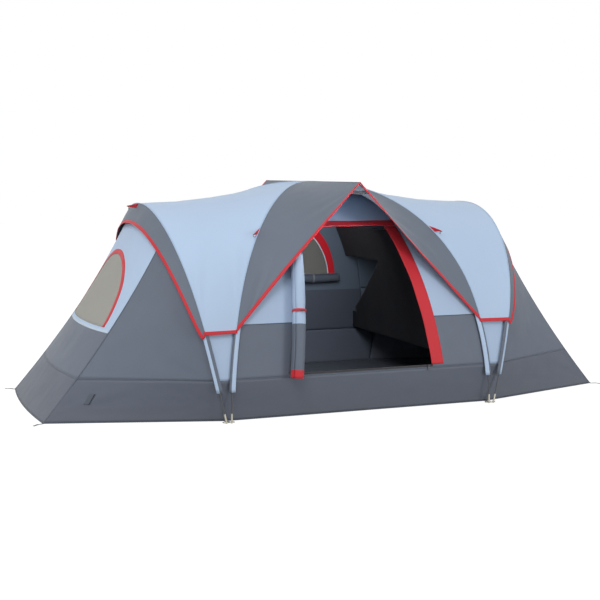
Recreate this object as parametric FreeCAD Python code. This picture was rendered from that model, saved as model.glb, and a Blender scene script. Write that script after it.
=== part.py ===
"""Pole tent with a rain roof: two crossed dome poles, two leaning side hoops and a short
ridge pole carry a floored inner tent with two end rooms.  Millimetres, +Z up, the door on -Y,
the length along X, the origin on the ground under the crossing of the poles."""
import FreeCAD
import Part
import math
import os

V = FreeCAD.Vector
os.makedirs("parts", exist_ok=True)

# ------------------------------------------------------------------ driving dimensions
foot_x = 1052.0            # middle of a pair of pole feet, along the tent
foot_y = 1150.0            # the same, across the tent
foot_spread = 18.0         # each pole of a pair stands this far from that middle
corner_x = 2275.0          # pegged corners of the end rooms
corner_y = 700.0
hem_y = 1062.0             # the floor's front and rear hem
hem_bow = 38.0             # how far the end hems swell out between their corners
seam_sag = 55.0            # hollow of the end rooms' sloping seams
bathtub_h = 300.0          # top of the coated lower wall
skirt_h = 680.0            # where the dark cloth of the long walls ends
fabric = 3.0               # modelled thickness of the cloth
mesh_t = 1.6               # thickness of the netting
seam_gap = 1.2             # free edge left along a seam, so neighbours stay apart
floor_gap = 0.3            # air between the floor and the walls that stand on it
wall_slant = 1.3           # a leaning wall's thickness along Y, over its real thickness
clearance = 2.3            # gap between a pole's sleeve and the cloth beside it
wall_top = 84.0            # degrees on the dome where the long walls end, below the crossing

dome_h = 1652.0            # lower dome pole, centre of the rod at the crossing
dome_leg_turn = 22.0       # degrees that a leg bends before the shoulder
dome_crown_turn = 85.0     # heading where the shoulder passes into the crown
dome_flatness = 2.30       # crown radius over shoulder radius
hoop_h = 1495.0
hoop_lean = 0.22           # outward lean of a side hoop, run over rise
hoop_leg_turn = 9.5
hoop_crown_turn = 85.0
hoop_flatness = 1.54
hoop_seam_turn = 57.0      # place on the hoop where the end room's seam starts
pole_d = 9.5
crossing_gap = 0.4         # air between poles that cross
dome_rods = 9              # rods in a dome pole; an odd number keeps the crossing free
hoop_rods = 7
ferrule_d = 12.6
ferrule_l = 64.0
bore_gap = 0.2             # radial play of a rod in a ferrule or a tip

ridge_half = 1000.0        # the ridge pole reaches this far to the front and the rear
ridge_rise = 4.0           # camber of the ridge pole
ridge_rods = 3
cap_d = 12.6               # cap on either end of the ridge pole
ridge_clear = 0.5          # air between the ridge pole's fittings and the roof
crossing_free = 26.0       # the awnings start this far from the crossing
peak_rise = 1.4            # the awnings' peak stands this many times the cap's height above it

tip_d = 14.0               # steel tip on a pole's end
tip_l = 56.0
tip_foot = 14.0            # height of the tips' lower ends
pin_d = 7.0
pin_l = 26.0               # stub of the pin inside the tip
tip_seat = 2.0             # a rod stops this far above the stub
eye_d = 13.0               # eye at the foot of a pin
ring_wire = 5.0
ring_depth = 34.0
webbing_w = 25.0
webbing_t = 2.0
wrap_gap = 0.3             # air between a strap or tie and what it wraps

sleeve_w = 44.0            # flat sleeve at the foot of each pole
sleeve_t = 17.0
dome_sleeve_turn = -1.5    # degrees that a dome leg's sleeve faces towards the door
sleeve_wall = 1.8
sleeve_low = 219.0
sleeve_high = 700.0
hoop_sleeve_turn = 16.0    # degrees that a hoop's sleeve faces away from the front

fly_low = 628.0            # straight lower edge of the rain roof
fly_lift = 19.0            # outer face of the rain roof above the poles' centre line
strap_drop = 58.0          # the strap across the awning hangs this far below its peak
strap_inset = 1.8          # its ends stop this far inside the awning's outer faces
band_drop = 173.0          # hanging width of the roof's end band, at the top
band_gap = 1.6             # air between the band and the tape along its free edge
band_slope = 60.0          # degrees below level that the band hangs
edge_sag = 25.0            # how far the awning's free edge draws in towards the wall
tape_w = 24.0
tape_t = 2.0
tape_gap = 0.4             # air between a tape and the cloth it is sewn to

door_low = 325.0
door_high = 1368.0
door_foot = 560.0          # half widths of the doorway
door_head = 330.0
door_bulge = 26.0          # outward swell of the doorway's sides
zip_w = 16.0
flap_w = 92.0              # storm flap over the side zip
trim_w = 40.0
roll_d = 104.0
roll_core = 18.0
roll_gap = 7.4             # its distance from the wall, at both ends and in the middle
roll_x_low = -555.0
roll_x_high = -468.0
tie_z = 760.0
tie_w = 18.0
toggle_d = 8.0
toggle_l = 26.0
roll_low = 292.0
roll_high = 1130.0

window_r = 680.0           # arched rear window, outer edge of its tape
window_mid = 700.0         # height of the arch's centre
window_low = 815.0
window_tape = 65.0
rear_roll_d = 84.0
rear_tie_x = 430.0         # its two ties stand this far from the middle
roll_rest = 0.5            # air between the rear roll and the window's inner tape

end_window_half = 560.0    # half width of the end windows at their foot
end_window_low = 640.0
end_window_high = 1165.0
end_window_tape = 36.0

divider_x_low = 905.0      # the room divider leans in towards the roof
divider_x_high = 560.0
divider_low = 320.0
divider_high = 1290.0
pass_low = 470.0           # way through a divider
pass_high = 1000.0
pass_reach = 700.0

loop_l = 88.0              # peg loops
loop_w = 20.0
eyelet_d = 9.0
tab_l = 92.0               # guy tabs
tab_w = 66.0
ring_d = 26.0
ring_bar = 3.2
ring_play = 0.8            # radial play of a ring in its tab
tab_turn = 48.14             # place of the guy tabs on a dome pole, in degrees
tab_droop = 0.2            # a tab's tip hangs this share of its length below level
tab_hole = 16.0
clip_w = 12.0
clip_t = 2.6
clip_mouth = 3.2
clip_play = 0.3            # radial play of a clip on its pole
dome_tail_gap = 3.6        # a dome pole's clips end this far above the cloth's seam line
hoop_tail_gap = 2.4        # the same on the hoops, where the ceiling rises beside the seam
port_low = 0.42            # the lead-in flap's place on the coated wall, as shares of it
port_high = 0.66
port_near = 0.80
port_far = 0.84
slider_x = 520.0
slider_l = 15.0
slider_w = 11.0
slider_t = 4.2
slider_gap = 1.5           # the slider clears the leaning tape by this much at its middle
pull_l = 34.0
pull_w = 10.8
pull_t = 2.4
pull_pin = 1.7
slider_round = 1.2
hook_gap = 0.4             # air between the slider's back and its pull

centre = V(0, 0, 500)      # a place inside the tent, to tell inside from outside


def save(name, *solids):
    """Write one node: one solid, or a group of separate ones."""
    shape = solids[0] if len(solids) == 1 else Part.makeCompound(list(solids))
    if not shape.isValid() or not shape.Solids:
        raise ValueError(name + " is not a valid solid")
    shape.exportStep("parts/" + name + ".step")
    print("%-28s solids %2d faces %4d volume %11.0f" % (name, len(shape.Solids), len(shape.Faces),
                                                       shape.Volume))


def mix(a, b, t):
    """The point a share t of the way from a to b; works for numbers too."""
    return a + (b - a) * t


def flip(shape, across_x=False, across_y=False):
    """Mirror a shape to the other side or to the rear."""
    if across_x:
        shape = shape.mirror(V(0, 0, 0), V(1, 0, 0))
    if across_y:
        shape = shape.mirror(V(0, 0, 0), V(0, 1, 0))
    return shape


def pair(shape):
    """A shape and its mirror image at the other end."""
    return [shape, flip(shape, across_x=True)]


def four(shape):
    """A shape in all four quarters of the tent."""
    return pair(shape) + pair(flip(shape, across_y=True))


# ------------------------------------------------------------------ poles
class Arch:
    """A pole bent into five tangent arcs in one plane: leg, shoulder, crown, shoulder, leg.
    A place on it is the angle phi, which runs from 0 at the first foot to 180 at the other."""

    def __init__(self, start, end, rise, leg_turn, crown_turn, flatness):
        self.mid = (start + end) * 0.5
        self.out = V(start - self.mid)
        half = self.out.Length
        self.out.normalize()
        self.up = V(rise)
        height = self.up.Length
        self.up.normalize()
        self.axis = self.out.cross(self.up)
        a, b = math.radians(leg_turn), math.radians(crown_turn)
        side = (1 - math.cos(a), math.cos(a) - math.cos(b) + flatness * math.cos(b))
        tall = (math.sin(a), math.sin(b) - math.sin(a) + flatness * (1 - math.sin(b)))
        det = side[0] * tall[1] - side[1] * tall[0]
        leg = (half * tall[1] - height * side[1]) / det
        shoulder = (side[0] * height - tall[0] * half) / det
        crown = shoulder * flatness
        low = (half - leg, 0.0)
        mid = (low[0] + (leg - shoulder) * math.cos(a), (leg - shoulder) * math.sin(a))
        top = (0.0, height - crown)
        self.turns = [0.0, leg_turn, crown_turn, 180 - crown_turn, 180 - leg_turn, 180.0]
        self.radii = [leg, shoulder, crown, shoulder, leg]
        self.centres = [low, mid, top, (-mid[0], mid[1]), (-low[0], 0.0)]

    def arc(self, phi):
        for index in range(4):
            if phi <= self.turns[index + 1]:
                return index
        return 4

    def point(self, phi, lift=0.0):
        """A point on the pole, or lifted off its centre line, away from the arch's inside."""
        index = self.arc(phi)
        reach = self.radii[index] + lift
        across = self.centres[index][0] + reach * math.cos(math.radians(phi))
        height = self.centres[index][1] + reach * math.sin(math.radians(phi))
        return self.mid + self.out * across + self.up * height

    def away(self, phi):
        return self.out * math.cos(math.radians(phi)) + self.up * math.sin(math.radians(phi))

    def along(self, phi):
        return self.up * math.cos(math.radians(phi)) - self.out * math.sin(math.radians(phi))

    def length(self, phi):
        total = 0.0
        for index in range(self.arc(phi) + 1):
            end = min(phi, self.turns[index + 1])
            total += self.radii[index] * math.radians(end - self.turns[index])
        return total

    def find(self, measure, target, low, high):
        """The angle where a measure that grows from low to high meets the target."""
        for _ in range(50):
            phi = (low + high) / 2
            if measure(phi) < target:
                low = phi
            else:
                high = phi
        return (low + high) / 2

    def at_length(self, target):
        return self.find(self.length, target, 0.0, 180.0)

    def even(self, first, last, count):
        """Angles that divide a stretch of the pole into equal lengths."""
        start, end = self.length(first), self.length(last)
        return [self.at_length(mix(start, end, k / count)) for k in range(count + 1)]

    def at_height(self, z, lift=0.0):
        return self.find(lambda phi: self.point(phi, lift).z, z, 0.0, 90.0)

    def edges(self, first, last):
        stops = [first] + [t for t in self.turns if first + 0.01 < t < last - 0.01] + [last]
        found = []
        for a, b in zip(stops, stops[1:]):
            curve = Part.Arc(self.point(a), self.point((a + b) / 2), self.point(b))
            found.append(curve.toShape())
        return found

    def tube(self, first, last, diameter, bore=0.0):
        """A rod or tube along the pole from one angle to another."""
        path = Part.Wire(self.edges(first, last))
        sides = []
        for d in (diameter, bore):
            if d:
                circle = Part.Circle(self.point(first), self.along(first), d / 2)
                wire = Part.Wire([circle.toShape()])
                sides.append(path.makePipeShell([wire], True, False))
        return sides[0] if len(sides) == 1 else sides[0].cut(sides[1])


def dome_pole(side, extra):
    """A dome pole from its front foot on one side to its rear foot on the other."""
    foot = V(side * (foot_x - foot_spread), -foot_y, 0)
    return Arch(foot, V(-foot.x, foot_y, 0), V(0, 0, dome_h + extra), dome_leg_turn,
                dome_crown_turn, dome_flatness)


def hoop_pole(side):
    """A side hoop, which leans outwards over the end room."""
    foot = V(side * (foot_x + foot_spread), -foot_y, 0)
    return Arch(foot, V(foot.x, foot_y, 0), V(side * hoop_lean * hoop_h, 0, hoop_h),
                hoop_leg_turn, hoop_crown_turn, hoop_flatness)


over = pole_d + crossing_gap
dome_lower = dome_pole(-1, 0.0)
dome_upper = dome_pole(1, over)
dome = dome_pole(-1, over / 2)     # line between the two, which the cloth follows
hoop_left = hoop_pole(-1)
hoop_right = hoop_pole(1)
wall_lift = -(sleeve_t + over) / 2 - clearance
hoop_wall_lift = -(sleeve_t / 2 + clearance) / math.cos(math.radians(hoop_sleeve_turn)) ** 2
ridge_z = dome_h + 2 * over
ridge_end_z = ridge_z - ridge_rise
roof_top = ridge_z + ferrule_d / 2 + ridge_clear + fabric


# ------------------------------------------------------------------ cloth
def surface(rows):
    patch = Part.BSplineSurface()
    patch.interpolate(rows)
    return patch.toShape()


def sheet(rows, thickness=fabric, doubled=False, out=0.0):
    """A sheet of cloth whose outer face runs through a grid of points, or this far outside it.
    A doubled sheet is one half of a cloth that runs on to the rear, past its last row on the
    plane Y = 0."""
    tall, wide = len(rows), len(rows[0])
    offsets = []
    for i in range(tall):
        line = []
        for j in range(wide):
            down = rows[min(i + 1, tall - 1)][j] - rows[max(i - 1, 0)][j]
            side = rows[i][min(j + 1, wide - 1)] - rows[i][max(j - 1, 0)]
            line.append(down.cross(side).normalize())
        offsets.append(line)
    if doubled:
        offsets[-1] = [V(n.x, 0, n.z).normalize() for n in offsets[-1]]
    middle = rows[tall // 2][wide // 2]
    inward = 1 if offsets[tall // 2][wide // 2].dot(centre - middle) > 0 else -1
    faces = [surface([[p + n * inward * depth for p, n in zip(row, line)]
                      for row, line in zip(rows, offsets)]) for depth in (-out, thickness - out)]
    pairs = zip(faces[0].OuterWire.OrderedEdges, faces[1].OuterWire.OrderedEdges)
    faces += [Part.makeRuledSurface(a, b) for a, b in pairs]
    if doubled:
        faces = [f for f in faces if max(abs(v.Y) for v in f.Vertexes) > 1e-6]
        faces += [flip(f, across_y=True) for f in faces]
    shell = Part.Shell(faces)
    shell.sewShape()
    solid = Part.Solid(shell)
    if solid.Volume < 0:
        solid.reverse()
    return solid


def between(a, b, gap=seam_gap):
    """The two ends of a ruling, each drawn in by the gap that a seam leaves."""
    step = (b - a).normalize() * gap
    return [a + step, b - step]


def steps(first, last, count):
    return [mix(first, last, k / count) for k in range(count + 1)]


def long_wall(thickness=fabric, out=0.0):
    """The front long wall, from the coated lower wall up to where the dome poles cross."""
    rows = []
    for phi in dome.even(dome.at_height(bathtub_h + seam_gap / 2, wall_lift), wall_top, 8):
        left = dome.point(phi, wall_lift)
        rows.append(between(left, V(-left.x, left.y, left.z)))
    return sheet(rows, thickness, out=out)


def side_roof(low, high, hoop_low, hoop_high):
    """Cloth stretched from the left front dome leg to the left hoop."""
    turns = zip(dome.even(low, high, 8), hoop_left.even(hoop_low, hoop_high, 8))
    rows = [between(dome.point(a, wall_lift), hoop_left.point(b, hoop_wall_lift), 2 * seam_gap)
            for a, b in turns]
    return sheet(rows, doubled=high == 90.0)


def seam_point(z):
    """The end room's front seam, from the pegged corner up to the left hoop."""
    top = hoop_left.point(hoop_seam_turn, hoop_wall_lift)
    t = z / top.z
    return mix(V(-corner_x, -corner_y, 0), top, t) + V(4 * seam_sag * t * (1 - t), 0, 0)


def bay(low, high):
    """The end room's front wall, between the hoop and the sloping seam."""
    rows = []
    for z in steps(low, high, 7):
        phi = hoop_left.at_height(z, hoop_wall_lift)
        rows.append(between(hoop_left.point(phi, hoop_wall_lift), seam_point(z)))
    return sheet(rows)


def end_point(v, z):
    """The left end wall: v runs from -1 on the front seam to 1 on the rear one."""
    turn = mix(90.0, hoop_seam_turn, abs(v))
    top = hoop_left.point(turn, hoop_wall_lift)
    top.y = math.copysign(top.y, v)
    ground = V(-corner_x - hem_bow * (1 - v * v), corner_y * v, 0)
    t = z / top.z
    return mix(ground, top, t) + V(4 * seam_sag * t * (1 - t), 0, 0)


def end_wall(low, high, thickness=fabric, out=0.0):
    """The left end wall up to a height; with no height given it reaches the hoop."""
    rows = []
    reach = 1 - 2 * seam_gap / corner_y
    for v in steps(-reach, reach, 8):
        top = hoop_left.point(mix(90.0, hoop_seam_turn, abs(v)), hoop_wall_lift).z
        upper = high if high else top - 3 * seam_gap
        rows.append([end_point(v, z) for z in steps(low, upper, 6)])
    return sheet(rows, thickness, out=out)


def cylinder(base, direction, diameter, length, bore=0.0):
    solid = Part.makeCylinder(diameter / 2, length, base, direction)
    if bore:
        solid = solid.cut(Part.makeCylinder(bore / 2, length, base, direction))
    return solid


def prism(outline, direction):
    """A solid cutter: a closed list of edges pushed along a direction."""
    return Part.Face(Part.Wire(outline)).extrude(direction)


def polygon(points):
    return [Part.LineSegment(a, b).toShape() for a, b in zip(points, points[1:] + points[:1])]


def doorway(grow=0.0, low=door_low, high=door_high):
    """The doorway's outline pushed through the front wall, grown outwards all round."""
    y = -foot_y - 200
    foot, head = door_foot + grow, door_head + grow
    middle = (foot + head) / 2 + door_bulge
    a, b = V(-foot, y, low - grow), V(foot, y, low - grow)
    c, d = V(head, y, high + grow), V(-head, y, high + grow)
    half_way = (low + high) / 2
    edges = [Part.LineSegment(a, b).toShape(), Part.Arc(b, V(middle, y, half_way), c).toShape(),
             Part.LineSegment(c, d).toShape(), Part.Arc(d, V(-middle, y, half_way), a).toShape()]
    return prism(edges, V(0, foot_y, 0))


def rear_arch(radius, low=window_low):
    """The rear window's arch pushed through the rear wall."""
    y = 200
    drop = low - window_mid
    half = math.sqrt(radius * radius - drop * drop)
    a, b = V(-half, y, low), V(half, y, low)
    edges = [Part.LineSegment(a, b).toShape(),
             Part.Arc(b, V(0, y, window_mid + radius), a).toShape()]
    return prism(edges, V(0, foot_y, 0))


def end_arch(grow=0.0, low=end_window_low):
    """The end window's arch pushed through the left end wall."""
    x = -corner_x - 200
    half = end_window_half + grow
    a, b = V(x, half, low), V(x, -half, low)
    edges = [Part.LineSegment(a, b).toShape(),
             Part.Arc(b, V(x, 0, end_window_high + grow), a).toShape()]
    return prism(edges, V(corner_x, 0, 0))


def box(x0, x1, y0, y1, z0, z1):
    return Part.makeBox(x1 - x0, y1 - y0, z1 - z0, V(x0, y0, z0))


def band_of(z0, z1, x0=-corner_x, x1=corner_x):
    """Everything in front of the tent's middle between two heights."""
    return box(x0, x1, -foot_y - 300, -1, z0, z1)


def wall_y(z, lift=wall_lift):
    """Where the front long wall's outer face stands at a height."""
    return dome.point(dome.at_height(z, lift), lift).y


# ------------------------------------------------------------------ inner tent
def bathtub():
    """The flat floor and its coated walls, which meet the upper walls in a seam."""
    corners = [V(-corner_x, -corner_y, 0), V(-foot_x, -hem_y, 0), V(foot_x, -hem_y, 0),
               V(corner_x, -corner_y, 0), V(corner_x, corner_y, 0), V(foot_x, hem_y, 0),
               V(-foot_x, hem_y, 0), V(-corner_x, corner_y, 0)]
    edges = [Part.LineSegment(a, b).toShape() for a, b in zip(corners[:3], corners[1:4])]
    edges.append(Part.Arc(corners[3], V(corner_x + hem_bow, 0, 0), corners[4]).toShape())
    edges += [Part.LineSegment(a, b).toShape() for a, b in zip(corners[4:7], corners[5:])]
    edges.append(Part.Arc(corners[7], V(-corner_x - hem_bow, 0, 0), corners[0]).toShape())
    save("groundsheet", prism(edges, V(0, 0, fabric)))

    low, leaning_low = fabric + floor_gap, fabric * 1.8 + floor_gap
    top = hoop_left.point(hoop_left.at_height(bathtub_h, hoop_wall_lift), hoop_wall_lift)
    top_gap = V(0, 0, seam_gap / 2)
    seam_y = wall_y(bathtub_h)
    front = sheet([between(V(-foot_x, -hem_y, low), V(foot_x, -hem_y, low)),
                   between(V(top.x, seam_y, top.z) - top_gap, V(-top.x, seam_y, top.z) - top_gap)])
    save("bathtub_front", front)
    save("bathtub_rear", flip(front, across_y=True))
    side = sheet([between(V(-foot_x, -hem_y, leaning_low), V(-corner_x, -corner_y, leaning_low)),
                  between(top - top_gap, seam_point(bathtub_h) - top_gap)])
    end = end_wall(leaning_low, bathtub_h - seam_gap / 2)
    save("bathtub_slopes", *four(side))
    save("bathtub_ends", *pair(end))


def long_walls():
    """Front wall in four pieces round the doorway, rear wall round its arched window."""
    whole = long_wall()
    open_wall = whole.cut(doorway())
    header = band_of(door_high, dome_h)
    sill = band_of(0, door_low, -door_foot, door_foot)
    save("front_wall_header", open_wall.common(header))
    save("door_sill", open_wall.common(sill))
    sides = open_wall.cut(header).cut(sill)
    save("front_wall_left", sides.common(band_of(0, dome_h, x1=0)))
    save("front_wall_right", sides.common(band_of(0, dome_h, x0=0)))

    inner_r = window_r - window_tape
    save("rear_wall", flip(whole, across_y=True).cut(rear_arch(inner_r + trim_w / 4)))
    net = long_wall(mesh_t, (mesh_t - fabric) / 2)
    save("rear_window_mesh", flip(net, across_y=True).common(rear_arch(inner_r + trim_w / 4 - 0.4,
                                                                      window_low + 0.4)))
    tapes = []
    for out in (tape_t + tape_gap, -fabric - tape_gap):
        skin = flip(long_wall(tape_t, out), across_y=True)
        tapes.append(skin.common(rear_arch(window_r)).cut(rear_arch(inner_r, window_low - 1)))
    save("rear_window_tape", *tapes)


def end_rooms():
    """The sloping walls of the two end rooms, with a netting window in each end wall."""
    low = bathtub_h + seam_gap / 2
    slope = bay(low, seam_point(0).z + hoop_left.point(hoop_seam_turn, hoop_wall_lift).z - 22)
    end = end_wall(low, 0)
    net = end_wall(low, 0, mesh_t, (mesh_t - fabric) / 2).common(end_arch(-end_window_tape / 2))
    tape = end_wall(low, 0, tape_t, tape_t + tape_gap).common(end_arch())
    tape = tape.cut(end_arch(-end_window_tape, end_window_low - 1))
    end = end.cut(end_arch(-end_window_tape / 2 + 0.4, end_window_low - 0.4))
    save("slope_walls", *four(slope))
    save("end_walls", *pair(end))
    save("end_window_meshes", *pair(net))
    save("end_window_tapes", *pair(tape))


def roof_cloth():
    """Wedges between the legs of a pole pair, and the ceiling from the dome to the hoops."""
    low = bathtub_h + seam_gap / 2
    wedge = side_roof(dome.at_height(low, wall_lift), dome.at_height(skirt_h, wall_lift),
                      hoop_left.at_height(low, hoop_wall_lift),
                      hoop_left.at_height(skirt_h, hoop_wall_lift))
    save("wedge_panels", *four(wedge))
    above = skirt_h + seam_gap
    ceiling = side_roof(dome.at_height(above, wall_lift), 90.0,
                        hoop_left.at_height(above, hoop_wall_lift), 90.0)
    save("ceiling", *pair(ceiling))


def divider_x(z):
    return divider_x_low - (divider_x_low - divider_x_high) * (z / divider_high) ** 3


def divider():
    """Room divider: a curtain with a way through beside the rear wall."""
    def piece(z0, z1, front_reach, rear_reach):
        rows = []
        for z in steps(z0, z1, 5):
            reach = -wall_y(z) - wall_slant * fabric - tape_gap
            rows.append([V(divider_x(z), -reach * front_reach(z), z),
                         V(divider_x(z), reach * rear_reach(z), z)])
        return sheet(rows, mesh_t)

    def whole(z):
        return 1.0

    def pass_edge(z):
        width = pass_reach * (z - pass_low) / (pass_high - pass_low)
        return (-wall_y(z) - max(width, 60.0)) / -wall_y(z)

    gap = 0.3
    curtain = [piece(divider_low, pass_low, whole, whole),
               piece(pass_low + gap, pass_high - gap, whole, pass_edge),
               piece(pass_high, divider_high, whole, whole)]
    save("dividers", *[copy for cloth in curtain for copy in pair(cloth)])


# ------------------------------------------------------------------ door
def door_trim():
    """Head tape, storm flap over the side zip, hinge tape behind the roll, and the sill zip."""
    skin = long_wall(tape_t, tape_t + tape_gap)
    head = band_of(door_high - trim_w / 2, door_high + trim_w / 2, -door_head - flap_w,
                   door_head + flap_w)
    save("door_head_tape", skin.common(head))
    side = band_of(door_low, door_high - trim_w / 2 - 0.4)
    frame = skin.common(side).common(doorway(flap_w)).cut(doorway(-trim_w / 4, door_low - 20,
                                                                 door_high + 20))
    right = band_of(0, dome_h, x0=0)
    save("door_storm_flap", frame.common(right))
    hinge = skin.common(side).common(doorway(trim_w)).cut(doorway(0, door_low - 20,
                                                                 door_high + 20))
    save("door_hinge_tape", hinge.cut(right))
    save("door_sill_zip", skin.common(band_of(door_low - zip_w, door_low, -door_foot + 10,
                                              door_foot)))


# ------------------------------------------------------------------ poles and their fittings
def rod_ends(arch, rods):
    """The angles where a pole's rods meet, from its first tip to its last."""
    margin = tip_foot + pin_l + tip_seat
    step = (arch.length(180.0) - 2 * margin) / rods
    return [arch.at_length(margin + step * k) for k in range(rods + 1)]


def rod_middles(arch, rods):
    """The middle of each rod, without the first and the last, which stand in the sleeves."""
    ends = rod_ends(arch, rods)[1:-1]
    return [arch.at_length((arch.length(a) + arch.length(b)) / 2) for a, b in zip(ends, ends[1:])]


def pole_set(name, arch, rods):
    """Write the rods of one pole and return the steel ferrules that join them."""
    stations = rod_ends(arch, rods)
    play = math.degrees(bore_gap / arch.radii[1])
    save(name, *[arch.tube(a + play, b - play, pole_d) for a, b in zip(stations, stations[1:])])
    ferrules = []
    for station in stations[1:-1]:
        middle = arch.length(station)
        a, b = arch.at_length(middle - ferrule_l / 2), arch.at_length(middle + ferrule_l / 2)
        ferrules.append(arch.tube(a, b, ferrule_d, pole_d + 2 * bore_gap))
    return ferrules


def ridge_pole():
    """A nearly straight pole over the crossing, which holds both awnings out."""
    def height(y):
        return ridge_z - ridge_rise * (y / ridge_half) ** 2

    def stretch(y0, y1, diameter, bore=0.0):
        ends = V(0, y0, height(y0)), V(0, y1, height(y1))
        return cylinder(ends[0], ends[1] - ends[0], diameter, (ends[1] - ends[0]).Length, bore)

    reach = ridge_half - tip_d
    width = 2 * reach / ridge_rods
    stops = [-reach + width * k for k in range(ridge_rods + 1)]
    save("ridge_pole", *[stretch(a + bore_gap, b - bore_gap, pole_d)
                         for a, b in zip(stops, stops[1:])])
    half = ferrule_l / 2
    ferrules = [stretch(b - half, b + half, ferrule_d, pole_d + 1.0) for b in stops[1:-1]]
    caps = []
    for side in (-1, 1):
        cap = stretch(side * (reach - tip_l / 2), side * (reach + cap_d / 2), cap_d)
        caps.append(cap.cut(stretch(side * (reach - tip_l / 2 - 1), side * reach,
                                    pole_d + 2 * bore_gap)))
    save("ridge_pole_caps", *caps)
    return ferrules


def poles():
    ferrules = pole_set("dome_pole_lower", dome_lower, dome_rods)
    ferrules += pole_set("dome_pole_upper", dome_upper, dome_rods)
    ferrules += pole_set("side_hoop_left", hoop_left, hoop_rods)
    ferrules += pole_set("side_hoop_right", hoop_right, hoop_rods)
    save("pole_ferrules", *ferrules, *ridge_pole())


# ------------------------------------------------------------------ rain roof
def roof_line(phi):
    """The rain roof's seam over a dome pole; it rises to clear the ridge pole."""
    climb = roof_top - fly_lift - dome_h - over / 2
    return dome.point(phi, fly_lift + climb * (phi / 90.0) ** 10)


def drawn(a, b, start, end):
    """The stretch of the ruling a to b that leaves off a length at either end."""
    step = (b - a).normalize()
    return [a + step * start, b - step * end]


def rain_roof():
    """Side panels, hanging end bands and awnings, with a tape sewn along every free edge."""
    tape_edge = fly_low + tape_w
    first = dome.at_height(fly_low, fly_lift)
    dome_start = dome.at_height(tape_edge + 0.4, fly_lift)
    hoop_start = hoop_left.at_height(tape_edge + 0.4, fly_lift)
    turns = zip(dome.even(dome_start, 90.0, 8), hoop_left.even(hoop_start, 90.0, 8))
    panel = sheet([between(roof_line(a), hoop_left.point(b, fly_lift)) for a, b in turns],
                  doubled=True)

    slope = V(-math.cos(math.radians(band_slope)), 0, -math.sin(math.radians(band_slope)))
    low = hoop_left.at_height(fly_low, fly_lift)
    band_rows, edge_rows = [], []
    for phi in hoop_left.even(low, 180.0 - low, 14):
        top = hoop_left.point(phi, fly_lift)
        t = (phi - low) / (180.0 - 2 * low)
        drop = tape_w + 6 + (band_drop - tape_w - 6) * math.sqrt(math.sin(math.pi * t) + 1e-9)
        band_rows.append([top + slope * seam_gap * 1.6, top + slope * (drop - tape_w - band_gap)])
        edge_rows.append([top + slope * (drop - tape_w), top + slope * drop])
    band, band_tape = sheet(band_rows), sheet(edge_rows, tape_t)

    corner = roof_line(first)
    peak = V(0, -ridge_half - tip_d, ridge_end_z + (cap_d / 2 + ridge_clear + fabric) * peak_rise)
    awning_rows, lip_rows = [], []
    for phi in dome.even(mix(first, 90.0, 0.03), 90.0, 10):
        a = roof_line(phi)
        t = (dome.length(phi) - dome.length(first)) / (dome.length(90.0) - dome.length(first))
        b = mix(corner, peak, t) + V(0, edge_sag * 4 * t * (1 - t), 0)
        a.x, b.x = min(a.x, -fabric), min(b.x, -fabric)
        a.y = min(a.y, -crossing_free)
        awning_rows.append(drawn(a, b, seam_gap, tape_w + 0.4))
        lip_rows.append(drawn(a, b, (b - a).Length - tape_w, 0.0))
    awning, lip = sheet(awning_rows), sheet(lip_rows, tape_t)

    save("roof_panel_left", panel)
    save("roof_panel_right", flip(panel, across_x=True))
    save("roof_bands", *pair(band))
    save("awning_front", *pair(awning))
    save("awning_rear", *pair(flip(awning, across_y=True)))

    run = (peak.x - corner.x) / (peak.z - corner.z)
    ends = [(peak.z - drop, drop * run - strap_inset)
            for drop in (strap_drop, strap_drop + webbing_w)]
    y = -ridge_half + fabric
    outline = [V(-ends[0][1], y, ends[0][0]), V(ends[0][1], y, ends[0][0]),
               V(ends[1][1], y, ends[1][0]), V(-ends[1][1], y, ends[1][0])]
    strap = prism(polygon(outline), V(0, webbing_t, 0))
    save("peak_straps", strap, flip(strap, across_y=True))
    low_rows = [between(dome.point(dome.at_height(z, fly_lift), fly_lift),
                        hoop_left.point(hoop_left.at_height(z, fly_lift), fly_lift), 2.0)
                for z in (fly_low, tape_edge)]
    foot_tape = sheet(low_rows, tape_t)
    save("roof_edge_tape", *pair(band_tape), *four(lip), *four(foot_tape))


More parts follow.
